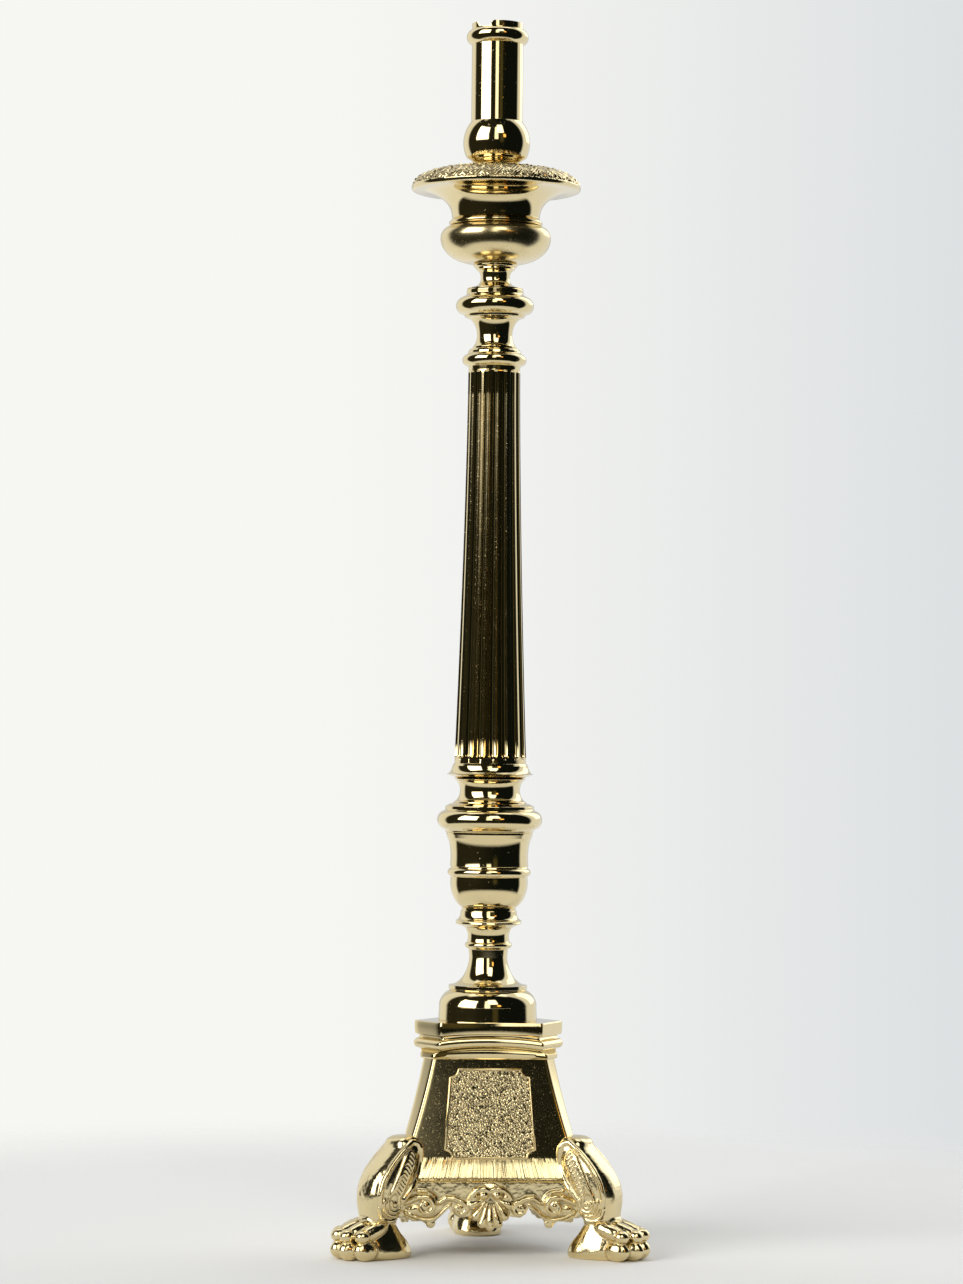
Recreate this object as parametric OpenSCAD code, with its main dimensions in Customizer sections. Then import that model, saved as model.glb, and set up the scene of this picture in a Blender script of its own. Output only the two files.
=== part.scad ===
// Altar candlestick in cast and turned brass, on a three-sided base with paw feet.
// One threaded tie rod runs up the middle. It clamps the base and every turned section of
// the stem together, and its bare top end holds the drip pan and the candle socket.
// The frame's origin is on the floor, under the stem's axis. +Z is up, and -Y is the front.

/* [Candle socket] */
// Bore that takes the candle
candle_d = 32; // [30:0.5:33]
// Depth of the candle bore
candle_depth = 63; // [50:1:66]
// Outer diameter of the socket tube
cup_d = 36.2; // [35.4:0.2:38]
// Diameter over the bead round the mouth
bead_d = 43.6; // [40:0.2:46]
// Diameter of the ball under the tube
ball_d = 47; // [44:0.5:50]

/* [Drip pan] */
// Diameter of the drip pan
pan_d = 119; // [114:1:122]
// Height of the pan's rolled border above its underside
pan_crest_h = 15.5; // [14:0.5:18]

/* [Stem] */
// Largest diameter of the capital's bowl
capital_d = 77.7; // [72:0.1:82]
// Diameter of the upper knop
upper_knop_d = 54.8; // [50:0.2:60]
// Diameter of the lower knop
lower_knop_d = 73.6; // [68:0.2:78]
// Length of the fluted column
column_l = 278; // [200:1:300]
// Diameter of the fluted column at its top
column_top_d = 36.4; // [34:0.2:40]
// Diameter of the fluted column at its foot
column_foot_d = 50.4; // [48:0.2:52]
// Number of flutes
flutes = 18; // [12:1:20]

/* [Base] */
// Height of the base body's lower edge above the floor
body_z = 52; // [48:1:56]
// Height of the base body
body_h = 82.5; // [78:0.5:90]
// Thickness of the cast walls
wall = 4; // [3:0.5:5]
// Depth of the sunk panel on each face
panel_depth = 1.2; // [0.8:0.1:1.6]

/* [Feet] */
// Reach of a paw from the stem's axis to its toes
foot_reach = 124; // [120:1:128]
// Radius of one toe
toe_r = 8.5; // [7.5:0.5:9]

/* [Tie rod] */
// Diameter of the tie rod, over its thread
rod_d = 10; // [9:0.5:10]
// Width of the rod's nuts across their flats
nut_af = 17; // [15:0.5:18]
// Thickness of the rod's nuts
nut_h = 8; // [6:0.5:9]

/* [Hidden] */

// Cuts run this far past a face, and registers stand this far clear of their seats
eps = 0.5;
fit = 0.1;

// Every stem section has a turned spigot on top, which seats in the section above
spigot_r = 7.5;
spigot_h = 3;
rod_hole_r = rod_d / 2 + 0.5;

// Heights of the parts of the stem, from the base upwards
cornice_h = 25.5;
dome_h = 24;
pedestal_h = 40.5;
collar_h = 11.5;
urn_bowl_h = 23.5;
urn_drum_h = 31;
lower_knop_h = 20.5;
lower_spool_h = 17;
foot_collar_h = 10.6;
cap_ring_h = 12.4;
upper_spool_h = 22.4;
upper_knop_h = 19.6;
neck_h = 18.3;
bowl_h = 26;
bell_h = 24.7;

cornice_z = body_z + body_h;
dome_z = cornice_z + cornice_h;
pedestal_z = dome_z + dome_h;
collar_z = pedestal_z + pedestal_h;
urn_bowl_z = collar_z + collar_h;
urn_drum_z = urn_bowl_z + urn_bowl_h;
lower_knop_z = urn_drum_z + urn_drum_h;
lower_spool_z = lower_knop_z + lower_knop_h;
foot_collar_z = lower_spool_z + lower_spool_h;
column_z = foot_collar_z + foot_collar_h;
cap_ring_z = column_z + column_l;
upper_spool_z = cap_ring_z + cap_ring_h;
upper_knop_z = upper_spool_z + upper_spool_h;
neck_z = upper_knop_z + upper_knop_h;
bowl_z = neck_z + neck_h;
bell_z = bowl_z + bowl_h;
pan_z = bell_z + bell_h;

// The socket stands on the pan's boss, and the rod's top end screws into its ball
socket_z = pan_z + 10;
ball_z = socket_z + 24;
cup_z = ball_z + 9;
cup_floor = 12;
cup_h = cup_floor + candle_depth;
thread_depth = 25;
thread_r = rod_d / 2 + 0.05;
rod_top = socket_z + thread_depth - 1;

// The bell's floor carries the upper nut, and the base's top plate carries the lower one
bell_floor = 6.5;
washer_h = 2;
top_plate = 6;
base_washer_h = 4;
base_washer_z = cornice_z - top_plate - base_washer_h;
rod_bottom = base_washer_z - nut_h - 5;

// The base body: a three-sided pyramid with narrow corner facets and a kick at its foot
kick_h = 20.6;
screw_r = 3;
leg_head_r = 5;
leg_screw_z = body_z + 14;
apron_screw_r = 2;
apron_screw_z = body_z + 5;
apron_screw_x = 30;

brass = "#d8a93c";
cast_brass = "#c99a3a";
steel = "#8c8f94";

// ---------- outlines ----------

// Points on an arc about [r, z] centre c, from angle a0 to a1
function arc(c, r, a0, a1, n = 8) = oval(c, r, r, a0, a1, n);

// The same on an ellipse with half-axes rx and rz
function oval(c, rx, rz, a0, a1, n = 8) = [
    for (i = [0:n])
        let (a = a0 + (a1 - a0) * i / n)
        [c[0] + rx * cos(a), c[1] + rz * sin(a)]
];

// Corner points of a triangle with cut corners: d is the distance from the axis to a long
// side, and f the width of a corner facet. The first long side faces -Y.
function plan(d, f) = [
    for (k = [0:2])
        for (s = [-1, 1])
            let (x = s * (sqrt(3) * d - f), t = 120 * k)
            [x * cos(t) + d * sin(t), x * sin(t) - d * cos(t)]
];

// Half width of the base body at height h above its lower edge, and its facets' width
function body_half(h) = 46.2 + 0.2 * (body_h - 2.5 - h) + 0.001 * pow(body_h - 2.5 - h, 2);
function body_facet(h) = 10 + 3 * h / body_h;

// Distance from the axis to the body's long face, which kicks out below kick_h
function body_face(h) = h >= kick_h
    ? (2 * body_half(h) + body_facet(h)) / (2 * sqrt(3))
    : body_face(kick_h) + 0.34 * (kick_h - h);

// Column radius at a fraction t of its length, measured down from its top
function column_r(t) = column_top_d / 2 + (column_foot_d - column_top_d) / 2 * pow(t, 1.5);

// ---------- shared shapes ----------

// A turned section: an outline revolved about the axis, bored for the rod, with a recess
// below and, if wanted, a spigot above. core is [radius, low, high] of a cast hollow.
module turned(outline, h, spigot = true, core = undef) {
    difference() {
        union() {
            rotate_extrude($fn = 96) polygon(concat([[0, 0]], outline, [[0, h]]));
            if (spigot) translate([0, 0, h - eps]) cylinder(r = spigot_r, h = spigot_h + eps, $fn = 48);
        }
        translate([0, 0, -eps]) cylinder(r = rod_hole_r, h = h + spigot_h + 2 * eps, $fn = 48);
        translate([0, 0, -eps]) cylinder(r = spigot_r + fit, h = spigot_h + fit + eps, $fn = 48);
        if (core != undef) translate([0, 0, core[1]]) cylinder(r = core[0], h = core[2] - core[1], $fn = 72);
    }
}

// A hexagonal nut or a bolt head, bored to hole_r
module hex_nut(af, h, hole_r) {
    difference() {
        cylinder(r = af / sqrt(3), h = h, $fn = 6);
        translate([0, 0, -eps]) cylinder(r = hole_r, h = h + 2 * eps, $fn = 48);
    }
}

module washer(outer_r, h) {
    difference() {
        cylinder(r = outer_r, h = h, $fn = 48);
        translate([0, 0, -eps]) cylinder(r = rod_hole_r, h = h + 2 * eps, $fn = 48);
    }
}

// A closed skin through the plan at each height in hs, drawn in by inset
module plan_loft(hs, inset) {
    rings = [for (h = hs) [for (p = plan(body_face(h) - inset, body_facet(h))) [p[0], p[1], h]]];
    count = len(hs);
    polyhedron(
        points = [for (ring = rings) each ring],
        faces = concat(
            [[for (i = [0:5]) i]],
            [for (k = [0:count - 2]) for (i = [0:5])
                [k * 6 + i, (k + 1) * 6 + i, (k + 1) * 6 + (i + 1) % 6, k * 6 + (i + 1) % 6]],
            [[for (i = [5:-1:0]) (count - 1) * 6 + i]]
        )
    );
}

// Heights at which the body's curved faces are cut into flat bands
function body_heights(low, high) = concat(
    [low, kick_h],
    [for (i = [1:6]) kick_h + (high - kick_h) * i / 6]
);

// ---------- candle socket ----------

// Tube that holds the candle, with a bead and a plain lip at its mouth
module candle_cup() {
    r = cup_d / 2;
    bead_c = [bead_d / 2 - 5.6, cup_h - 9.4];
    bead_angle = acos((r - bead_c[0]) / 5.6);
    color(brass) translate([0, 0, cup_z]) difference() {
        rotate_extrude($fn = 96) polygon(concat(
            [[0, 0], [r, 0]],
            arc(bead_c, 5.6, -bead_angle, bead_angle, 12),
            [[r, cup_h - 0.6], [r - 0.6, cup_h], [0, cup_h]]
        ));
        translate([0, 0, cup_floor]) cylinder(d = candle_d, h = candle_depth + eps, $fn = 96);
        // The notch in the lip
        rotate([0, 0, -126]) translate([r - 2, 0, cup_h - 3.6]) rotate([90, 0, 90])
            linear_extrude(6, center = true) polygon([[-4, 0], [4, 0], [7.2, 4.2], [-7.2, 4.2]]);
    }
}

// Ball below the tube, with its foot ring, tapped for the rod
module socket_ball() {
    color(brass) translate([0, 0, socket_z]) difference() {
        union() {
            translate([0, 0, 24]) sphere(d = ball_d, $fn = 96);
            rotate_extrude($fn = 96) polygon(concat(
                [[0, 0]],
                arc([17.2, 2.2], 2.2, -90, 60, 5),
                arc([19, 8], 3.6, 240, 120, 6),
                [[18.4, 12.4], [0, 12.4]]
            ));
        }
        translate([0, 0, 33]) cylinder(d = cup_d + 2 * fit, h = ball_d, $fn = 96);
        translate([0, 0, -ball_d]) cylinder(d = ball_d, h = ball_d, $fn = 48);
        translate([0, 0, -eps]) cylinder(r = thread_r, h = thread_depth + eps, $fn = 48);
    }
}

// Dished pan that catches the wax, with a domed border
module drip_pan() {
    r = pan_d / 2;
    crest_r = 31.5;
    color(brass) translate([0, 0, pan_z]) difference() {
        rotate_extrude($fn = 120) polygon(concat(
            [[0, 0], [r - 2, 0], [r - 0.6, 0.7]],
            oval([crest_r, 2.5], r - crest_r, pan_crest_h - 2.5, 0, 90, 14),
            oval([crest_r, pan_crest_h - 8.5], 5.5, 8.5, 90, 176, 7),
            [[25.4, 6], [20.5, 6], [19.8, 10], [0, 10]]
        ));
        translate([0, 0, -eps]) cylinder(r = rod_hole_r + 0.1, h = 12, $fn = 48);
        // The hollow under the border
        rotate_extrude($fn = 96) polygon(concat(
            [[24, -eps], [47, -eps]],
            oval([crest_r + 1, 0], r - crest_r - 12, pan_crest_h - 4, 10, 90, 8),
            [[27, 4]]
        ));
    }
}

// ---------- stem, from the top down ----------

// Bell that flares out under the pan, with a ring at its foot and a cup inside for the nut
module capital_bell() {
    color(brass) translate([0, 0, bell_z]) difference() {
        turned(concat(
            [[29.5, 0], [32, 0.4]],
            arc([31.1, 2.1], 1.8, -50, 60, 5),
            [[31.3, 4.4], [30.6, 5.4]],
            oval([55, 6.7], 24, 18, 180, 97, 12),
            [[54.6, bell_h]]
        ), bell_h, false);
        translate([0, 0, bell_floor]) cylinder(r = 16, h = bell_h, $fn = 48);
        rotate_extrude($fn = 96) polygon(concat(
            [[0, bell_floor + 3], [22, bell_floor + 3]],
            oval([54, 9.5], 25, 18, 180, 122, 8),
            [[41, bell_h + eps], [0, bell_h + eps]]
        ));
    }
}

// Round-bottomed bowl that carries the bell
module capital_bowl() {
    r = capital_d / 2;
    color(brass) translate([0, 0, bowl_z]) turned(concat(
        [[15.4, 0]],
        oval([15.4, 17.5], r - 15.4, 17.5, -84, 0, 14),
        oval([r - 7.5, 17.5], 7.5, 8.2, 12, 80, 7),
        [[29.5, bowl_h]]
    ), bowl_h, true, [22, 9, bowl_h - 4]);
}

// Waisted neck between the bowl and the upper knop
module neck_spool() {
    color(brass) translate([0, 0, neck_z]) turned(concat(
        [[19.6, 0], [19.6, 0.6]],
        oval([19.2, 7.2], 8.9, 6.4, 262, 180, 8),
        oval([16.6, 9], 6.3, 5.6, 176, 118, 5),
        [[13.6, 15.2]],
        arc([13.9, 16.75], 1.55, -80, 80, 6)
    ), neck_h);
}

// Upper knop: a flattened ball between two fillets
module upper_knop() {
    r = upper_knop_d / 2;
    color(brass) translate([0, 0, upper_knop_z]) turned(concat(
        [[21, 0], [21.4, 1.6], [22.8, 2.2]],
        oval([r - 7.6, 8], 7.6, 6.6, -50, 62, 12),
        [[20.6, 15.4], [20, 16.2], [20, 18.8], [19.4, upper_knop_h]]
    ), upper_knop_h, true, [16, 4.5, 14.5]);
}

// Waisted spool under the upper knop
module upper_spool() {
    color(brass) translate([0, 0, upper_spool_z]) turned(concat(
        [[15.4, 0]],
        oval([19.8, 9.6], 7.4, 10, 235, 180, 7),
        oval([20.6, 9.6], 8.2, 12.4, 180, 98, 9),
        [[20.2, upper_spool_h]]
    ), upper_spool_h);
}

// Ring that caps the column and seats in its bore
module column_cap_ring() {
    color(brass) translate([0, 0, cap_ring_z]) difference() {
        union() {
            turned(concat(
                [[18.6, 0]],
                arc([18.4, 4.6], 4.15, -72, 72, 10),
                [[18.8, 9.2], [18.4, 10.8], [17.6, cap_ring_h - 0.4], [17, cap_ring_h]]
            ), cap_ring_h);
            translate([0, 0, -5]) cylinder(r = 12.9, h = 5, $fn = 48);
        }
        translate([0, 0, -6]) cylinder(r = rod_hole_r, h = 12, $fn = 48);
    }
}

// Tapering hollow column, with round-bottomed flutes that stop just short of both ends
module fluted_column() {
    steps = 12;
    color(brass) translate([0, 0, column_z]) difference() {
        rotate_extrude($fn = 96) polygon(concat(
            [[0, 0]],
            [for (i = [0:steps]) [column_r(1 - i / steps), column_l * i / steps]],
            [[0, column_l]]
        ));
        translate([0, 0, -eps]) cylinder(r = 20, h = 5.7, $fn = 72);
        translate([0, 0, column_l - 5.2]) cylinder(r = 13, h = 6, $fn = 72);
        translate([0, 0, 5]) cylinder(r1 = 18, r2 = 12, h = column_l - 10, $fn = 72);
        for (k = [0:flutes - 1]) rotate([0, 0, (k + 0.5) * 360 / flutes]) flute_cut();
    }
}

// One flute: two cones end to end, each closed by a ball at the flute's end
module flute_cut() {
    end = 3;
    mid = 0.45;
    z1 = column_l - end;
    z2 = column_l * (1 - mid);
    z3 = end;
    r1 = PI * column_r(end / column_l) / flutes * 0.86;
    r2 = PI * column_r(mid) / flutes * 0.86;
    r3 = PI * column_r(1 - end / column_l) / flutes * 0.86;
    flute_leg(column_r(end / column_l) + 0.8, z1, r1, column_r(mid) + 0.8, z2, r2);
    flute_leg(column_r(mid) + 0.8, z2, r2, column_r(1 - end / column_l) + 0.8, z3, r3);
}

// A cone from radius ra at [xa, za] down to rb at [xb, zb]
module flute_leg(xa, za, ra, xb, zb, rb) {
    length = norm([xa - xb, za - zb]);
    translate([xb, 0, zb]) rotate([0, -atan2(xb - xa, za - zb), 0])
        cylinder(r1 = rb, r2 = ra, h = length, $fn = 32);
}

// Sharp-edged collar that carries the column's foot
module column_foot_collar() {
    color(brass) translate([0, 0, foot_collar_z]) union() {
        turned(concat(
            [[22.6, 0], [24.4, 0.6], [27.4, 1.9], [29.1, 2.7]],
            oval([31.4, 10.2], 5, 7.2, 262, 190, 6),
            [[25.4, foot_collar_h]]
        ), foot_collar_h, false);
        translate([0, 0, foot_collar_h - eps]) difference() {
            cylinder(r = 19.9, h = 5 + eps, $fn = 72);
            translate([0, 0, -eps]) cylinder(r = rod_hole_r, h = 7, $fn = 48);
        }
    }
}

// Short waisted spool above the lower knop
module lower_spool() {
    color(brass) translate([0, 0, lower_spool_z]) turned(concat(
        [[25.6, 0]],
        oval([27.4, 8.8], 6.4, 8.4, 252, 112, 14),
        [[25.2, lower_spool_h - 0.2], [23, lower_spool_h]]
    ), lower_spool_h, true, [14, 5, 12]);
}

// Lower knop: a broad flattened ball between two fillets
module lower_knop() {
    r = lower_knop_d / 2;
    color(brass) translate([0, 0, lower_knop_z]) turned(concat(
        [[30.4, 0], [31, 0.4], [31, 1.2], [32.4, 2.2]],
        oval([r - 6.6, 8.7], 6.6, 6.8, -58, 62, 12),
        [[31.6, 15.4], [31.1, 16.2], [31.1, 18.2], [28.6, 19.6], [25.6, lower_knop_h]]
    ), lower_knop_h, true, [26, 5, 15]);
}

// Drum of the urn, hollow-sided, with a ring at its foot
module urn_drum() {
    color(brass) translate([0, 0, urn_drum_z]) turned(concat(
        [[27.2, 0]],
        arc([26, 3.1], 3.1, -66, 66, 8),
        [[26.7, 7.2]],
        oval([31.6, 13.5], 4.5, 15.5, 203, 118, 9),
        [[30.2, urn_drum_h - 1.4], [30.2, urn_drum_h]]
    ), urn_drum_h, true, [22, 5, 26]);
}

// Cup-shaped underside of the urn
module urn_bowl() {
    color(brass) translate([0, 0, urn_bowl_z]) turned(concat(
        [[18.9, 0], [19, 2]],
        oval([12.6, 19.4], 14.5, 19.4, -64, 8, 12),
        [[27, urn_bowl_h]]
    ), urn_bowl_h, true, [14, 8, 19]);
}

// Sharp-edged collar below the urn
module stem_collar() {
    color(brass) translate([0, 0, collar_z]) turned(concat(
        [[17.4, 0], [20.6, 1.2], [22.4, 1.9], [23.1, 2.5], [22.6, 3.6]],
        oval([24.4, 9.6], 4.6, 5.2, 255, 190, 6),
        [[19.6, collar_h]]
    ), collar_h);
}

// Trumpet-shaped spool on the dome, with a ring below its waist
module pedestal_spool() {
    color(brass) translate([0, 0, pedestal_z]) turned(concat(
        [[26.9, 0]],
        oval([27.6, 21.6], 14.4, 21.6, 268, 186, 14),
        [[13.9, 25]],
        arc([14.4, 27.8], 2.1, -70, 70, 6),
        oval([20.6, 33.4], 6.2, 8.6, 204, 128, 8),
        [[17.6, pedestal_h]]
    ), pedestal_h);
}

// Dome that stands on the cornice
module pedestal_dome() {
    color(brass) translate([0, 0, dome_z]) difference() {
        turned(concat(
            [[34.5, 0], [34, 9.8]],
            oval([21.6, 9], 12.6, 12.6, 3, 66, 9),
            [[27.4, 21.4], [27.4, dome_h]]
        ), dome_h);
        translate([0, 0, -eps]) cylinder(r = 27, h = 14, $fn = 72);
    }
}

// ---------- base ----------

// Moulded cap of the base, with hollow-sided long edges
module base_cornice() {
    color(brass) translate([0, 0, cornice_z]) difference() {
        union() {
            cornice_band(32.5, 17, 0, 1.6);
            cornice_band(33.2, 18, 1.6, 4);
            cornice_band(35.6, 26, 5.6, 3);
            cornice_band(38.6, 33, 8.6, 6.4);
            cornice_band(37.8, 31.6, 15, 2);
            cornice_band(39.5, 33, 17, cornice_h - 17);
            translate([0, 0, cornice_h]) cylinder(r = 26.9, h = 3, $fn = 72);
        }
        translate([0, 0, -eps]) cylinder(r = 24, h = 18, $fn = 72);
        translate([0, 0, -eps]) cylinder(r = rod_hole_r, h = cornice_h + 5, $fn = 48);
    }
}

// One flat band of the cornice, with its long edges hollowed by a large circle
module cornice_band(d, f, z, h) {
    sweep_r = 230;
    sag = 2.6;
    translate([0, 0, z]) linear_extrude(h) difference() {
        polygon(plan(d, f));
        for (k = [0:2]) rotate(120 * k) translate([0, -d - sweep_r + sag]) circle(r = sweep_r, $fn = 240);
    }
}

// Cast three-sided body, open below, with a sunk panel on each face
module base_body() {
    color(brass) translate([0, 0, body_z]) difference() {
        union() {
            plan_loft(body_heights(0, body_h), 0);
            translate([0, 0, body_h]) cylinder(r = 23.9, h = 3, $fn = 72);
        }
        plan_loft(body_heights(-eps, body_h - top_plate), wall);
        translate([0, 0, body_h - top_plate - eps]) cylinder(r = rod_hole_r, h = 12, $fn = 48);
        for (k = [0:2]) rotate([0, 0, 120 * k]) {
            panel_cut();
            for (s = [-1, 1]) translate([s * apron_screw_x, -body_face(5) + 1.6, 5])
                rotate([-90, 0, 0]) cylinder(r = apron_screw_r + 0.05, h = 6, $fn = 32);
            translate([0, 0, leg_screw_z - body_z]) rotate([0, 90, 90])
                cylinder(r = screw_r + 0.2, h = 90, $fn = 32);
        }
    }
}

// The sunk panel: tapering sides and four hollow corners, laid on the face's slope
module panel_cut() {
    low = 15.1;
    high = 75.9;
    slope = atan2(body_face(low + 6) - body_face(high), high - low - 6);
    translate([0, -body_face(high) + panel_depth, high]) rotate([90 - slope, 0, 0]) linear_extrude(12)
        difference() {
            polygon([[-31.6, low - high], [31.6, low - high], [27.2, 0], [-27.2, 0]]);
            for (s = [-1, 1]) {
                translate([s * 31.6, low - high]) circle(r = 6, $fn = 40);
                translate([s * 27.2, 0]) circle(r = 5.6, $fn = 40);
            }
        }
}

// One leg: knee, shank and ankle in an S, and a paw with four toes and a flat sole.
// It is drawn reaching along +X, then turned to its corner.
module leg(turn) {
    color(cast_brass) rotate([0, 0, turn]) difference() {
        union() {
            knee_and_shank();
            hull() {
                leg_ball(87, 0, 46, 14.5);
                leg_ball(90, 0, 28, 11);
            }
            hull() {
                leg_ball(90, 0, 28, 11);
                leg_ball(84, 0, 11, 11);
                leg_ball(100, 0, 15, 11);
            }
            hull() {
                leg_ball(84, 7, 9, 10);
                leg_ball(84, -7, 9, 10);
                leg_ball(104, 12, 9, 10);
                leg_ball(104, -12, 9, 10);
            }
            toes(5.6, foot_reach - toe_r);
            toes(14, foot_reach - toe_r - 7);
        }
        translate([60, -40, -40]) cube([80, 80, 40]);
        rotate([0, 0, 30]) translate([0, 0, body_z]) plan_loft(body_heights(0, body_h), 0);
        translate([60, 0, leg_screw_z]) rotate([0, 90, 0]) cylinder(r = screw_r + 0.05, h = 25, $fn = 32);
    }
}

module knee_and_shank() {
    hull() {
        leg_ball(72, 0, 66, 16);
        leg_ball(87, 0, 46, 14.5);
    }
}

module leg_ball(x, y, z, r) {
    translate([x, y, z]) sphere(r = r, $fn = 20);
}

// A pair of toes, side by side at y and -y
module toes(y, x) {
    for (s = [-1, 1]) hull() {
        leg_ball(x, s * y, toe_r - 1, toe_r);
        leg_ball(x - 12, s * y, toe_r + 3, toe_r);
    }
}

// Scrolled apron below one face, with a shell at its middle and two fixing lugs behind
module apron(turn) {
    front = body_face(0) - 1.5;
    thick = 5;
    color(cast_brass) rotate([0, 0, turn]) difference() {
        union() {
            translate([0, -front + thick, 0]) rotate([90, 0, 0]) linear_extrude(thick) apron_outline();
            translate([0, -front + 1, 0]) rotate([90, 0, 0]) linear_extrude(4.4) shell_outline();
            for (s = [-1, 1]) {
                translate([s * 46.5, -front + thick, 37]) rotate([90, 0, 0])
                    cylinder(r = 6.4, h = thick + 2, $fn = 40);
                translate([s * 23, -front + thick, 36]) rotate([90, 0, 0])
                    cylinder(r = 5.4, h = thick + 2, $fn = 40);
                translate([s * apron_screw_x - 5, -lug_front(), body_z - 6]) cube([10, 3, 15]);
                translate([s * apron_screw_x - 5, -front + thick - 0.5, body_z - 6])
                    cube([10, front - lug_front() - thick + 2, 5.9]);
            }
        }
        for (s = [-1, 1]) translate([s * apron_screw_x, -front - 1, apron_screw_z]) rotate([-90, 0, 0])
            cylinder(r = apron_screw_r + 0.1, h = 20, $fn = 32);
        for (t = [-30, 210]) rotate([0, 0, t]) knee_room();
    }
}

// Room for the leg at each end of the apron
module knee_room() {
    hull() {
        leg_ball(72, 0, 66, 16.4);
        leg_ball(87, 0, 46, 14.9);
    }
}

// Front of the apron's fixing lugs, just inside the body's wall
function lug_front() = body_face(9) - wall - 0.6;

// Plain band of the apron, below the body's lower edge
module apron_outline() {
    translate([-62, 40]) square([124, body_z - 40]);
}

// Shell: a fan of seven lobes under a narrow band
module shell_outline() {
    fan_z = 40;
    polygon(oval([0, fan_z], 11.5, 19, 170, 370, 24));
    for (i = [-3:3]) translate([11.2 * sin(26 * i), fan_z - 18.6 * cos(26 * i)]) circle(r = 4, $fn = 40);
    translate([-12, fan_z]) square([24, 6]);
}

// ---------- fastenings ----------

// Threaded rod through the base and the whole stem
module tie_rod() {
    color(steel) translate([0, 0, rod_bottom]) cylinder(d = rod_d, h = rod_top - rod_bottom, $fn = 48);
}

module stem_washer() {
    color(steel) translate([0, 0, bell_z + bell_floor]) washer(14, washer_h);
}

module stem_nut() {
    color(steel) translate([0, 0, bell_z + bell_floor + washer_h]) hex_nut(nut_af, nut_h, rod_d / 2 + 0.05);
}

module base_washer() {
    color(steel) translate([0, 0, base_washer_z]) washer(22, base_washer_h);
}

module base_nut() {
    color(steel) translate([0, 0, base_washer_z - nut_h]) hex_nut(nut_af, nut_h, rod_d / 2 + 0.05);
}

// One screw from inside each corner into its leg
module leg_screws() {
    h = leg_screw_z - body_z;
    inner = 2 * (body_face(h) - wall) - body_facet(h) * sqrt(3) / 2;
    // The head stands clear of the sloping wall, on its lowest point
    seat = inner - leg_head_r * 0.68 - fit;
    color(steel) for (t = [90, 210, 330]) rotate([0, 0, t]) translate([seat, 0, leg_screw_z])
        rotate([0, 90, 0]) {
            cylinder(r = screw_r, h = 19, $fn = 32);
            translate([0, 0, -4]) cylinder(r = leg_head_r, h = 4, $fn = 32);
        }
}

// Two screws from inside each face, through the apron's lugs into the body
module apron_screws() {
    color(steel) for (k = [0:2]) rotate([0, 0, 120 * k]) for (s = [-1, 1])
        translate([s * apron_screw_x, -lug_front() + 3, apron_screw_z]) rotate([90, 0, 0]) {
            cylinder(r = apron_screw_r, h = 6, $fn = 32);
            translate([0, 0, -2.5]) cylinder(r = 3.5, h = 2.5, $fn = 32);
        }
}

candle_cup();
socket_ball();
drip_pan();
capital_bell();
capital_bowl();
neck_spool();
upper_knop();
upper_spool();
column_cap_ring();
fluted_column();
column_foot_collar();
lower_spool();
lower_knop();
urn_drum();
urn_bowl();
stem_collar();
pedestal_spool();
pedestal_dome();
base_cornice();
base_body();
leg(210);  // leg_left
leg(330);  // leg_right
leg(90);  // leg_rear
apron(0);  // apron_front
apron(120);  // apron_right
apron(240);  // apron_left
tie_rod();
stem_washer();
stem_nut();
base_washer();
base_nut();
leg_screws();
apron_screws();
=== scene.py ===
# %% [markdown]
# # An altar candlestick in polished brass
# A tall church candlestick: a candle socket and a wax pan on a turned stem, a fluted column,
# and a three-sided base on paw feet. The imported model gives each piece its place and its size.
# Here every visible piece is made again at the quality of a casting that has been turned,
# chased and polished. Polished brass shows nothing but its surroundings, so the light comes first.

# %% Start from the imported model
import bpy
import bmesh
import math
from mathutils import Matrix, Vector, noise


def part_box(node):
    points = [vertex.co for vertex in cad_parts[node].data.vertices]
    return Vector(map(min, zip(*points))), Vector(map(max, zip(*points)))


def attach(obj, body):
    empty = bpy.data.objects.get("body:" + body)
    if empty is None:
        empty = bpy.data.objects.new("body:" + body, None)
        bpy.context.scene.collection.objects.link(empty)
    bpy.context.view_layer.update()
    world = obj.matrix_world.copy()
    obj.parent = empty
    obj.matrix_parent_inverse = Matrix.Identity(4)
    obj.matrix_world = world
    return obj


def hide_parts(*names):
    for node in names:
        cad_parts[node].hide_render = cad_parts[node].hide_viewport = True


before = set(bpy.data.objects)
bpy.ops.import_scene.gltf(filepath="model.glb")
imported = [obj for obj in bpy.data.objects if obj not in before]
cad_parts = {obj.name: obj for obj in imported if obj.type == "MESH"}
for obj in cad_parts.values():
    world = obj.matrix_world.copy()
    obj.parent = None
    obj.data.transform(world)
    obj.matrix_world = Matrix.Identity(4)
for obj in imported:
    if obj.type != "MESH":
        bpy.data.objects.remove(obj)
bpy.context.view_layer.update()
MM = 0.001
TURN = math.tau

# %% [markdown]
# ## The camera
# A long lens from almost three metres keeps the stem's rings nearly flat, as a catalogue
# photographer would. It stands at the height of the fluted column and is turned a few degrees
# round the left of the front face. Its own slight lean is a turn about the line of sight.

# %% Camera
def aim_camera(distance, height, azimuth, target, lens, roll):
    data = bpy.data.cameras.new("camera")
    data.lens = lens
    data.sensor_width = 36
    data.clip_end = 30
    camera = bpy.data.objects.new("camera", data)
    bpy.context.scene.collection.objects.link(camera)
    camera.location = (distance * math.sin(azimuth), -distance * math.cos(azimuth), height)
    look = (target - camera.location).to_track_quat("-Z", "Y").to_matrix()
    lean = look @ Matrix.Rotation(roll, 3, "Z")
    camera.matrix_world = Matrix.Translation(camera.location) @ lean.to_4x4()
    bpy.context.scene.camera = camera
    return camera


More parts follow.
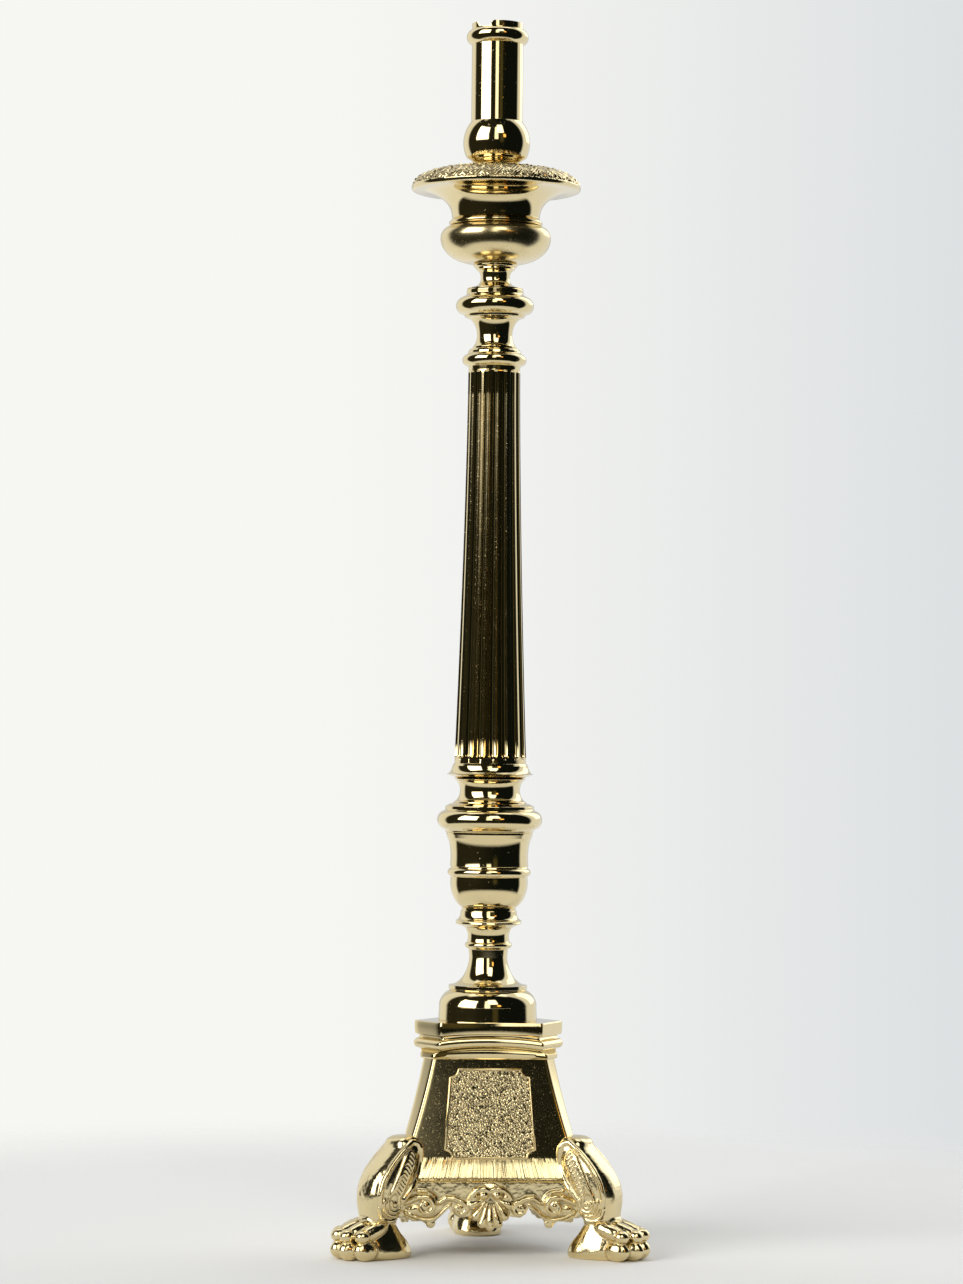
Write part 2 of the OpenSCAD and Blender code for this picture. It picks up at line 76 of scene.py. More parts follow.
aim_camera(2.73, 0.362, math.radians(-4), Vector((-0.007, 0, 0.4236)), 109.3, math.radians(0.6))

# %% [markdown]
# ## Shader arithmetic
# A finish is mostly arithmetic on a few patterns. This class wraps one output of a node and
# gives it Python's operators, so that a mask can be written as `1 - mask * 0.5`. Each operator
# adds one Math node. Every other node comes from `add`.

# %% The shader class
class Shade:
    """One output of a shader node. Sums and products of it are Math nodes."""

    def __init__(self, tree, socket=None):
        self.tree = tree
        self.socket = socket

    def add(self, kind, settings=None, inputs=None, out=0):
        """Adds a node, sets it up, then fills its sockets with values or links."""
        node = self.tree.nodes.new(kind)
        for name, value in (settings or {}).items():
            setattr(node, name, value)
        for name, value in (inputs or {}).items():
            if isinstance(value, Shade):
                self.tree.links.new(value.socket, node.inputs[name])
            else:
                node.inputs[name].default_value = value
        return Shade(self.tree, node.outputs[out]) if len(node.outputs) else None

    def math(self, operation, first, second=0.0, clamp=False):
        settings = {"operation": operation, "use_clamp": clamp}
        return self.add("ShaderNodeMath", settings, {0: first, 1: second})

    def __add__(self, other):
        return self.math("ADD", self, other)

    def __sub__(self, other):
        return self.math("SUBTRACT", self, other)

    def __mul__(self, other):
        return self.math("MULTIPLY", self, other)

    def __radd__(self, other):
        return self.math("ADD", other, self)

    def __rsub__(self, other):
        return self.math("SUBTRACT", other, self)

    def __rmul__(self, other):
        return self.math("MULTIPLY", other, self)

    def step(self, low, high):
        """0 below low, 1 above high, and smooth between."""
        settings = {"interpolation_type": "SMOOTHSTEP"}
        inputs = {"Value": self, "From Min": low, "From Max": high}
        return self.add("ShaderNodeMapRange", settings, inputs)

    def mix(self, first, second):
        """A colour that goes from first to second as this goes from 0 to 1."""
        inputs = {"Factor": self, "A": first, "B": second}
        return self.add("ShaderNodeMix", {"data_type": "RGBA"}, inputs, out=2)

# %% [markdown]
# ## The studio
# What the brass reflects is the studio: a white sweep behind it, the dark room on the
# camera's side, and a few lights in that room. All of this is painted on the world by
# direction, which costs no geometry and keeps the view clear from every side. The camera
# itself sees only the pale sweep. Each light is a patch between two angles round from the
# front and two angles up.

# %% World
def band(angle, low, high, soft):
    """1 between two angles, with soft edges."""
    return angle.step(low - soft, low + soft) * (1 - angle.step(high - soft, high + soft))


# Left, right and softness in degrees, low, high and softness, how much it covers, colour
LIGHTS = [
    (8, 20, 4, -2, 24, 6, 0.8, (0.085, 0.072, 0.027, 1)),  # an olive curtain
    (20, 28, 2, 14, 24, 2, 1.0, (2.4, 1.3, 0.35, 1)),  # a lamp left on
    (-11, 1.5, 2, 7, 50, 2, 1.0, (1.9, 1.85, 1.6, 1)),  # slim soft box beside the camera
    (-4, 22, 2, 29, 58, 2, 1.0, (2.6, 2.55, 2.3, 1)),  # soft box above the camera
    (-78, -33, 2, 7, 47, 2, 1.0, (4.2, 4.1, 3.9, 1)),  # wide soft box on the left
    (120, 150, 2, 8, 48, 2, 0.85, (2.2, 2.2, 2.1, 1)),  # soft box behind on the right
]
SWEEP_LEFT = (0.95, 0.95, 0.93, 1)
SWEEP_RIGHT = (0.82, 0.85, 0.90, 1)
SWEEP_TOP = (0.75, 0.78, 0.80, 1)
ROOM_LEFT = (0.022, 0.020, 0.011, 1)
ROOM_RIGHT = (0.005, 0.007, 0.006, 1)
CEILING = (2.2, 2.2, 2.2, 1)
BACKDROP_LEFT = (0.925, 0.925, 0.895, 1)
BACKDROP_RIGHT = (0.70, 0.725, 0.745, 1)


def paint_world():
    world = bpy.data.worlds.new("studio")
    bpy.context.scene.world = world
    world.use_nodes = True
    world.node_tree.nodes.clear()
    tree = Shade(world.node_tree)
    direction = tree.add("ShaderNodeTexCoord", out=0)
    x, y, z = (tree.add("ShaderNodeSeparateXYZ", inputs={0: direction}, out=n) for n in range(3))
    # Degrees round from the front, positive to the right, and degrees up
    around = tree.math("ARCTAN2", x, 0 - y) * (360 / TURN)
    up = tree.math("ARCSINE", z) * (360 / TURN)
    aside = tree.math("ABSOLUTE", around)
    sweep = (around * 0.0012 + 0.5).step(0, 1).mix(SWEEP_LEFT, SWEEP_RIGHT)
    sweep = (up.step(35, 75) * 0.45).mix(sweep, SWEEP_TOP)
    # The room, and a faint dark flag far behind
    room = band(around, -118, 100, 6) * band(up, -95, 110, 4)
    flag = aside.step(151, 158) * band(up, -6, 75, 5) * 0.25
    room_colour = around.step(-64, 40).mix(ROOM_LEFT, ROOM_RIGHT)
    colour = tree.math("MAXIMUM", room, flag).mix(sweep, room_colour)
    for left, right, side_soft, low, high, up_soft, cover, light in LIGHTS:
        patch = band(around, left, right, side_soft) * band(up, low, high, up_soft)
        colour = (patch * cover).mix(colour, light)
    ceiling = up.step(60, 68) * aside.step(80, 110)
    colour = (ceiling * 0.6).mix(colour, CEILING)
    backdrop = (x * 4.2 - 0.02).step(0, 1).mix(BACKDROP_LEFT, BACKDROP_RIGHT)
    seen = tree.add("ShaderNodeLightPath", out="Is Camera Ray")
    colour = seen.mix(colour, backdrop)
    surface = tree.add("ShaderNodeBackground", inputs={"Color": colour, "Strength": 1.0})
    tree.add("ShaderNodeOutputWorld", inputs={"Surface": surface})
    bpy.context.scene.view_settings.view_transform = "Standard"


paint_world()

# %% [markdown]
# The candlestick stands on white paper, which gives it a contact shadow and lights its
# underside. A wide sheet would hide the world from below, so the paper is a disc that fades
# away before its edge, sooner in reflections than for the camera.

# %% Floor
def lay_floor(radius=1.0, segments=96):
    bm = bmesh.new()
    bmesh.ops.create_circle(bm, cap_ends=True, radius=radius, segments=segments)
    mesh = bpy.data.meshes.new("floor")
    bm.to_mesh(mesh)
    bm.free()
    floor = bpy.data.objects.new("floor", mesh)
    bpy.context.scene.collection.objects.link(floor)
    material = bpy.data.materials.new("white_paper")
    material.use_nodes = True
    material.node_tree.nodes.clear()
    tree = Shade(material.node_tree)
    place = tree.add("ShaderNodeTexCoord", out="Object")
    reach = tree.add("ShaderNodeVectorMath", {"operation": "LENGTH"}, {0: place}, out="Value")
    paper = tree.add("ShaderNodeBsdfDiffuse", inputs={"Color": (0.93, 0.94, 0.955, 1)})
    clear = tree.add("ShaderNodeBsdfTransparent")
    seen = tree.add("ShaderNodeLightPath", out="Is Camera Ray")
    fade = (reach - seen * 0.30 * radius).step(0.22 * radius, 0.66 * radius) * seen
    fade = fade + reach.step(0.48 * radius, 0.80 * radius) * (1 - seen)
    surface = tree.add("ShaderNodeMixShader", inputs={0: fade, 1: paper, 2: clear})
    tree.add("ShaderNodeOutputMaterial", inputs={"Surface": surface})
    mesh.materials.append(material)
    return floor


lay_floor()

# %% [markdown]
# ## Brass finishes
# All the brass is one metal: a reflecting surface with a warm, rather pale tint. The finishes
# differ in how far the polishing went. A turned face is a mirror with hair-fine lathe lines
# round the axis. A casting keeps a slight waviness, and its hollows keep dull skin and a
# little dried polish, except on the chased pan, whose hollows get a dark painted shade.

# %% Finishes
BRASS = (0.80, 0.67, 0.385, 1)
DEEP_BRASS = (0.66, 0.48, 0.20, 1)


def new_finish(name):
    material = bpy.data.materials.new(name)
    material.use_nodes = True
    material.node_tree.nodes.clear()
    return material, Shade(material.node_tree)


def close_finish(tree, colour, roughness, height, depth, metallic=1.0):
    normal = tree.add("ShaderNodeBump", inputs={"Height": height, "Distance": depth, "Strength": 1.0})
    sockets = {"Base Color": colour, "Roughness": roughness, "Metallic": metallic, "Normal": normal}
    surface = tree.add("ShaderNodeBsdfPrincipled", inputs=sockets)
    tree.add("ShaderNodeOutputMaterial", inputs={"Surface": surface})


def turned_brass(name="turned_brass", satin=0.0):
    """A lathe-turned mirror. satin adds the blur of an unpolished cut."""
    material, tree = new_finish(name)
    place = tree.add("ShaderNodeTexCoord", out="Object")
    squash = tree.add("ShaderNodeMapping", inputs={"Vector": place, "Scale": (2, 2, 900)})
    lines = tree.add("ShaderNodeTexNoise", inputs={"Vector": squash, "Scale": 1.0, "Detail": 3.0})
    cloud = tree.add("ShaderNodeTexNoise", inputs={"Vector": place, "Scale": 38.0, "Detail": 4.0})
    specks = tree.add("ShaderNodeTexNoise", inputs={"Vector": place, "Scale": 420.0, "Detail": 2.0})
    tarnish = cloud.step(0.52, 0.78) * 0.22
    colour = tarnish.mix(BRASS, DEEP_BRASS)
    roughness = 0.035 + satin + cloud * 0.05 + specks.step(0.66, 0.74) * 0.22
    height = lines * (0.5 + satin * 8) + cloud * 1.5
    close_finish(tree, colour, roughness, height, 0.000012)
    return material


TURNED = turned_brass()
SATIN = turned_brass("satin_brass", 0.16)

# %% [markdown]
# The castings were only polished where a buff could reach. A mesh can carry an attribute
# called hollow, and where that is high the metal is rougher and keeps a dull skin. On the
# chased pan the colour there is not skin but a dark painted shade. On the base, file strokes
# leave upright streaks in the strip below the panels. A noise stretched along the height gives
# them without any painting by hand.

# %% Cast finishes
PALE_SKIN = (0.58, 0.50, 0.31, 1)
# Painted shade: a dark colour for the chased pan's hollows, which darkens them as shade would
PAINTED_SHADE_IN_HOLLOWS = (0.16, 0.11, 0.035, 1)
STREAK_RADIUS = 0.06


def cast_brass(name, base_rough, skin, bump, streak=(90, 90, 90), below=None, cut=2.0,
               skin_and_shade_colour=PALE_SKIN):
    """Cast brass. skin is how much dull skin is left, below the height where streaks end. The colour in
    the hollows is a pale dull skin, and on the chased pan a dark painted shade.
    """
    material, tree = new_finish(name)
    place = tree.add("ShaderNodeTexCoord", out="Object")
    hollow = tree.add("ShaderNodeAttribute", {"attribute_name": "hollow"}, out="Fac")
    cloud = tree.add("ShaderNodeTexNoise", inputs={"Vector": place, "Scale": 70.0, "Detail": 4.0})
    grit = tree.add("ShaderNodeTexNoise", inputs={"Vector": place, "Scale": 900.0, "Detail": 2.0})
    stretched = tree.add("ShaderNodeMapping", inputs={"Vector": place, "Scale": streak})
    if below:
        x, y, level = (tree.add("ShaderNodeSeparateXYZ", inputs={0: place}, out=n) for n in range(3))
        turn = tree.math("ARCTAN2", x, y) * (STREAK_RADIUS * streak[0])
        stretched = tree.add("ShaderNodeCombineXYZ", inputs={0: turn, 1: level * streak[2]})
    wave = tree.add("ShaderNodeTexNoise", inputs={"Vector": stretched, "Scale": 1.0, "Detail": 3.0})
    wave = wave - 0.5
    if below:
        wave = wave * (1 - level.step(below - 0.002, below + 0.002))
    # In the hollows the colour is a real dull skin on most castings, and a painted shade on the chased
    # pan
    left = (hollow + (cloud - 0.5) * 0.35).step(0.55, 0.82) * skin
    worn = (cloud.step(0.5, 0.75) * 0.25).mix(BRASS, DEEP_BRASS)
    colour = left.mix(worn, skin_and_shade_colour)
    roughness = base_rough + left * 0.42 + grit.step(0.6, 0.75) * 0.12 + cloud * 0.05
    height = wave * cut + grit * 0.35 + cloud
    close_finish(tree, colour, roughness, height, bump, 1 - left * 0.45)
    return material


CAST = cast_brass("cast_brass", 0.13, 0.8, 0.00012)
STIPPLED = cast_brass("stippled_brass", 0.12, 0.25, 0.00003)
# The chased pan's hollows get the dark painted shade in place of the pale skin
CHASED = cast_brass("chased_brass", 0.09, 0.85, 0.00004, skin_and_shade_colour=PAINTED_SHADE_IN_HOLLOWS)
FLUTED = cast_brass("fluted_brass", 0.02, 0.6, 0.000006, (60, 60, 12))
WARM = cast_brass("base_brass", 0.03, 0.3, 0.000010, (620, 620, 9), below=0.0668, cut=55)

# %% [markdown]
# The rod, nuts, washers and screws are steel. They keep their plain shapes, since hardly
# anything of them shows, and only get a finish.

# %% Steel
def steel():
    material, tree = new_finish("plain_steel")
    place = tree.add("ShaderNodeTexCoord", out="Object")
    cloud = tree.add("ShaderNodeTexNoise", inputs={"Vector": place, "Scale": 120.0, "Detail": 5.0})
    fine = tree.add("ShaderNodeTexNoise", inputs={"Vector": place, "Scale": 1500.0, "Detail": 2.0})
    colour = cloud.step(0.35, 0.7).mix((0.50, 0.50, 0.51, 1), (0.36, 0.34, 0.32, 1))
    close_finish(tree, colour, 0.24 + cloud * 0.2, fine, 0.00002)
    return material


STEEL = steel()
print("finishes", len(bpy.data.materials))

# %% [markdown]
# ## Turned pieces
# Each stem section is an outline revolved about the axis. The outline is a short list of
# radii and heights in millimetres, with its round stretches worked out as arcs, and the spin
# operator turns it. Sharp corners are then given a hair of a bevel, because a real edge always
# catches a line of light.

# %% Outline and spin helpers
ROD_HOLE = 5.5


def oval(centre, rx, rz, start, end):
    """Points along an ellipse, one about every four degrees."""
    count = math.ceil(abs(end - start) / 4)
    angles = [math.radians(start + (end - start) * i / count) for i in range(count + 1)]
    return [(centre[0] + rx * math.cos(a), centre[1] + rz * math.sin(a)) for a in angles]


def arc(centre, radius, start, end):
    return oval(centre, radius, radius, start, end)


def soften(bm, width, limit=32):
    """A fine bevel on every edge that turns by more than limit degrees."""
    turning = [e for e in bm.edges if len(e.link_faces) == 2]
    sharp = [e for e in turning if e.calc_face_angle(0) > math.radians(limit)]
    bmesh.ops.bevel(bm, geom=sharp, affect="EDGES", offset=width * MM, segments=2, profile=0.5,
                    material=-1, clamp_overlap=True)


def first_cap(bm, sides):
    """The flat face that a solid is raised from, with a list of where its points lie."""
    ring = bmesh.ops.create_circle(bm, cap_ends=True, radius=1, segments=sides)["verts"]
    cap = ring[0].link_faces[0]
    return cap, [vert.co.copy() for vert in cap.verts]


def raise_cap(bm, cap):
    """Extrudes the flat face that ends a solid, and gives back the new end."""
    made = bmesh.ops.extrude_face_region(bm, geom=[cap, *cap.edges])["geom"]
    return next(each for each in made if isinstance(each, bmesh.types.BMFace))


def finish_piece(name, bm, material, body="stand", replaces=(), sharp=10):
    """Closes a bmesh into a named piece that rides on its body."""
    bmesh.ops.remove_doubles(bm, verts=bm.verts, dist=1e-7)
    mesh = bpy.data.meshes.new(name)
    bm.to_mesh(mesh)
    bm.free()
    mesh.shade_smooth()
    mesh.set_sharp_from_angle(angle=math.radians(sharp))
    piece = bpy.data.objects.new(name, mesh)
    bpy.context.scene.collection.objects.link(piece)
    mesh.materials.append(material)
    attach(piece, body)
    if replaces:
        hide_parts(*replaces)
    print(name, len(mesh.polygons), "faces")
    return piece


def turn_round(bm, angle):
    """Turns a whole bmesh about the object's axis."""
    bmesh.ops.rotate(bm, verts=bm.verts, cent=(0, 0, 0), matrix=Matrix.Rotation(angle, 3, "Z"))


def revolve(outline, base_z, steps=144):
    """A closed solid of revolution: the outline starts and ends on the axis or meets itself."""
    bm = bmesh.new()
    verts = [bm.verts.new((r * MM, 0, base_z + z * MM)) for r, z in outline]
    edges = [bm.edges.new(pair) for pair in zip(verts, verts[1:])]
    bmesh.ops.spin(bm, geom=verts + edges, cent=(0, 0, 0), axis=(0, 0, 1), angle=TURN,
                   steps=steps, use_merge=True)
    bmesh.ops.remove_doubles(bm, verts=bm.verts, dist=1e-7)
    bmesh.ops.recalc_face_normals(bm, faces=bm.faces)
    return bm


def turned(node, outline, material=None, steps=144, body="stand", edge=0.22):
    """A turned piece that stands for the CAD node of the same name, drilled for the tie rod."""
    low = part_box(node)[0].z
    top = outline[-1][1]
    ring = [(ROD_HOLE, 0)] + outline + [(ROD_HOLE, top), (ROD_HOLE, 0)]
    bm = revolve(ring, low, steps)
    soften(bm, edge)
    return finish_piece(f"{node}_turned", bm, material or TURNED, body, [node])

# %% [markdown]
# ## The stem, from the top down
# The heights below are measured from each piece's own lower face, whose place comes from the
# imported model.

# %% Capital, neck and upper knop
turned("capital_bowl", [(15.4, 0)]
       + oval((15.4, 17.5), 23.4, 17.5, -84, 0)
       + oval((31.35, 17.5), 7.5, 8.2, 6, 80)
       + [(29.5, 26)], SATIN)
turned("neck_spool", [(19.6, 0), (19.6, 0.6)]
       + oval((19.2, 7.2), 8.9, 6.4, 262, 180)
       + oval((16.6, 9), 6.3, 5.6, 176, 118)
       + [(13.6, 15.2)] + arc((13.9, 16.8), 1.55, -80, 80))
turned("upper_knop", [(21, 0), (21.4, 1.6), (22.8, 2.2)]
       + oval((19.8, 8), 7.6, 6.6, -50, 62)
       + [(20.6, 15.4), (20, 16.2), (20, 18.8), (19.4, 19.6)])
turned("upper_spool", [(15.4, 0)]
       + oval((19.8, 9.6), 7.4, 10, 235, 180)
       + oval((20.6, 9.6), 8.2, 12.4, 180, 98)
       + [(20.2, 22.4)])

# %% [markdown]
# The ring that caps the column has a spigot, which drops five millimetres into the bore and
# keeps the two in line. The sharp-edged collar below carries the column's foot.

# %% Column ring, foot collar and lower spool
turned("column_cap_ring", [(12.9, 0), (12.9, 5), (18.6, 5)]
       + arc((18.4, 9.6), 4.15, -72, 72)
       + [(18.8, 14.2), (18.4, 15.8), (17.6, 17), (17, 17.4)])
turned("column_foot_collar", [(22.6, 0), (24.4, 0.6), (27.4, 1.9), (29.1, 2.7)]
       + oval((31.4, 10.2), 5, 7.2, 262, 190)
       + [(25.4, 10.6)])
turned("lower_spool", [(25.6, 0)]
       + oval((27.4, 8.8), 6.4, 8.4, 252, 112)
       + [(25.2, 16.8), (23, 17)])
turned("lower_knop", [(30.4, 0), (31, 0.4), (31, 1.2), (32.4, 2.2)]
       + oval((30.2, 8.7), 6.6, 6.8, -58, 62)
       + [(31.6, 15.4), (31.1, 16.2), (31.1, 18.2), (28.6, 19.6), (25.6, 20.5)])

# %% [markdown]
# The urn and the pedestal are the broad pieces of the stem. Their hollow and round sides are
# parts of ellipses, which take fewer numbers than a list of points and stay smooth.

# %% Urn, collar and pedestal
turned("urn_drum", [(27.2, 0)]
       + arc((26, 3.1), 3.1, -66, 66)
       + [(26.7, 7.2)]
       + oval((31.6, 13.5), 4.5, 15.5, 203, 118)
       + [(30.2, 29.6), (30.2, 31)])
turned("urn_bowl", [(18.9, 0), (19, 2)]
       + oval((12.6, 19.4), 14.5, 19.4, -64, 8)
       + [(27, 23.5)])
turned("stem_collar", [(17.4, 0), (20.6, 1.2), (22.4, 1.9), (23.1, 2.5), (22.6, 3.6)]
       + oval((24.4, 9.6), 4.6, 5.2, 255, 190)
       + [(19.6, 11.5)])
turned("pedestal_spool", [(26.9, 0)]
       + oval((27.6, 21.6), 14.4, 21.6, 268, 186)
       + [(13.9, 25)]
       + arc((14.4, 27.8), 2.1, -70, 70)
       + oval((20.6, 33.4), 6.2, 8.6, 204, 128)
       + [(17.6, 40.5)])
turned("pedestal_dome", [(34.5, 0), (34, 9.8)]
       + oval((21.6, 9), 12.6, 12.6, 3, 66)
       + [(27.4, 21.4), (27.4, 24)])

# %% [markdown]
# ## The candle socket and the wax pan
# The socket is a tube with a bead at its mouth, screwed on to a ball that is tapped for the
# rod. The plain lip above the bead has one notch, where a scraper lifts out the candle's
# stub. The notch is cut with a wedge, as a file would cut it.

# %% Candle cup and ball
def carve(bm, cutter):
    """Cuts one closed bmesh out of another."""
    solids = []
    for each in (bm, cutter):
        mesh = bpy.data.meshes.new("blank")
        each.to_mesh(mesh)
        blank = bpy.data.objects.new("blank", mesh)
        bpy.context.scene.collection.objects.link(blank)
        solids.append(blank)
    cut = solids[0].modifiers.new("cut", "BOOLEAN")
    cut.operation = "DIFFERENCE"
    cut.solver = "MANIFOLD"
    cut.object = solids[1]
    ready = solids[0].evaluated_get(bpy.context.evaluated_depsgraph_get()).to_mesh()
    bm.clear()
    bm.from_mesh(ready)
    cutter.free()
    for each in solids:
        bpy.data.meshes.remove(each.data)
    return bm


def wedge(centre, wide_low, wide_high, depth, height, turn):
    """A notch cutter: wider above than below, turned about the axis."""
    cutter = bmesh.new()
    bmesh.ops.create_cube(cutter, size=1)
    for vert in cutter.verts:
        wide = wide_high if vert.co.z > 0 else wide_low
        vert.co = Vector((vert.co.x * depth, vert.co.y * wide, vert.co.z * height)) * MM
    bmesh.ops.translate(cutter, verts=cutter.verts, vec=Vector(centre) * MM)
    turn_round(cutter, turn)
    return cutter


# The notch in the cup's lip is at the front left
NOTCH = math.radians(-126)


def candle_cup():
    low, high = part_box("candle_cup")
    tube, bore, floor, bead_radius = 18.1, 16, 12, 5.6
    height = (high.z - low.z) / MM
    bead = (16.2, height - 9.4)
    meet = math.degrees(math.acos((tube - bead[0]) / bead_radius))
    outline = [(0, 0), (tube, 0)] + arc(bead, bead_radius, -meet, meet)
    outline += [(tube, height), (bore, height), (bore, floor), (0, floor)]
    bm = revolve(outline, low.z, 144)
    carve(bm, wedge((tube - 1, 0, height - 1.6 + low.z / MM), 8, 14.4, 8, 4.2, NOTCH))
    soften(bm, 0.25)
    return finish_piece("candle_cup_turned", bm, TURNED, "socket", ["candle_cup"])


def socket_ball():
    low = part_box("socket_ball")[0].z
    ball, centre, seat = 23.5, 24, 33
    start = math.degrees(math.asin((12.4 - centre) / ball))
    stop = math.degrees(math.acos(18.2 / ball))
    outline = [(5.05, 0), (17.2, 0)] + arc((17.2, 2.2), 2.2, -90, 60)
    outline += arc((19, 8), 3.6, 240, 120) + [(18.4, 12.2)]
    outline += arc((0, centre), ball, start + 3.4, stop)
    outline += [(18.2, seat), (5.05, seat), (5.05, 0)]
    bm = revolve(outline, low, 144)
    soften(bm, 0.2)
    return finish_piece("socket_ball_turned", bm, TURNED, "socket", ["socket_ball"])


candle_cup()
socket_ball()

# %% [markdown]
# The pan's border is domed and chased: sprays of leaves have been struck into it with a
# punch, all round. Each spray is a midrib with veins that slant away on both sides, so the
# depth of the chasing is worked out from the angle round the pan and the place across the
# border. It moves the mesh itself, and the light breaks up on it as it does on the real one.

# %% Drip pan
def chased_depth(around, across):
    """Depth of the chasing, 0 to 1. around counts sprays, across goes 0 to 1 over the border."""
    spray = abs((around % 1) - 0.5) * 2
    veins = abs(math.sin(math.pi * (spray * 2.6 + across * 7)))
    rib = math.exp(-(spray / 0.10) ** 2)
    scallop = 0.5 + 0.5 * math.cos(math.pi * (spray * 3))
    return 0.55 * veins + 0.5 * rib + 0.25 * scallop


def drip_pan(sprays=26, steps=624):
    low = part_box("drip_pan")[0].z
    rim, crest, top, edge_height = 59.5, 31.5, 15.5, 2.5
    reach, rise = rim - crest, top - edge_height
    outline = [(5.6, 0), (20, 0), (24, 0), (27, 1.6)]
    outline += oval((crest + 1, 0), rim - crest - 12, top - 4, 92, 8)
    outline += [(49.4, 0.5), (51.5, 0), (rim - 2, 0), (rim - 0.9, 0.35), (rim - 0.25, 1.1)]
    border = [math.radians(90 * i / 56) for i in range(57)]
    outline += [(crest + reach * math.cos(a), edge_height + rise * math.sin(a)) for a in border]
    outline += oval((crest, top - 8.5), 5.5, 8.5, 98, 176)
    outline += [(25.4, 6), (20.5, 6), (19.8, 10), (5.6, 10), (5.6, 0)]
    bm = revolve(outline, low, steps)
    layer = bm.verts.layers.float.new("hollow")
    bm.normal_update()
    moved = []
    for vert in bm.verts:
        radius = vert.co.xy.length / MM
        height = (vert.co.z - low) / MM
        out = (radius - crest) / reach
        if radius < 33 or height < 3.2 or out < math.cos(math.radians(88)):
            continue
        if out ** 2 + ((height - edge_height) / rise) ** 2 < 0.97:
            continue
        across = math.asin(min(1, (height - edge_height) / rise)) / (math.pi / 2)
        around = math.atan2(vert.co.y, vert.co.x) / TURN * sprays
        ease = max(0, min(1, (1 - across) / 0.06, (across - 0.02) / 0.05))
        hand = noise.noise(vert.co * 260) * 0.5 + noise.noise(vert.co * 90) * 0.5
        depth = chased_depth(around + hand * 0.10, across + hand * 0.05)
        # The chasing's hollow value marks where its finish lays a dark painted shade
        vert[layer] = max(0, min(1, 1.15 - depth + 0.5 * hand)) * ease
        moved.append((vert, -vert.normal * (0.95 * (1.1 - depth) + 0.3 * hand) * ease * MM))
    for vert, step in moved:
        vert.co += step
    print("points chased", len(moved))
    return finish_piece("drip_pan_chased", bm, CHASED, "wax_pan", ["drip_pan"], sharp=32)


drip_pan()

# %% [markdown]
# The bell carries the pan. It rises from a ring and flares out thin, and its cup holds the
# nut that clamps the stem.

# %% Capital bell
turned("capital_bell", [(29.5, 0), (32, 0.4)]
       + arc((31.1, 2.1), 1.8, -50, 60)
       + [(31.3, 4.4), (30.6, 5.4)]
       + oval((55, 6.7), 24, 18, 180, 97)
       + [(54.6, 24.7), (41, 24.7)]
       + oval((54, 9.5), 25, 18, 122, 180)
       + [(22, 9.5), (16, 9.5), (16, 6.5)])

# %% [markdown]
# ## The fluted column
# Eighteen round-bottomed flutes run up a tapering tube, and a narrow flat fillet is left
# between each two. The tube is spun with a whole number of steps to each flute. Then each
# point is moved on to the section of the flute, and one pair of points in every flute is
# kept for the fillet's two edges, so that the edges stay crisp over the whole length.

# %% Column
FLUTES = 18
SAMPLES = 16
COLUMN_L = 278
FLUTE_SHARE = 0.83
FLUTE_END = 3.0
STAND_OFF = 0.8


def column_radius(height):
    return 18.2 + 7 * max(0, 1 - height / COLUMN_L) ** 1.5


def flute_cut(height):
    """Radius of the flute's round cutter at a height, and None where it has left the metal."""
    cutter = FLUTE_SHARE * math.pi * column_radius(height) / FLUTES
    beyond = max(0, FLUTE_END + cutter - height, height - (COLUMN_L - FLUTE_END - cutter))
    return math.sqrt(cutter ** 2 - beyond ** 2) if beyond < cutter else None


def flute_edge(radius, cutter):
    """Half the angle that a flute takes up at the surface."""
    centre = radius + STAND_OFF
    cosine = (centre ** 2 + radius ** 2 - cutter ** 2) / (2 * centre * radius)
    return math.acos(min(1, cosine))


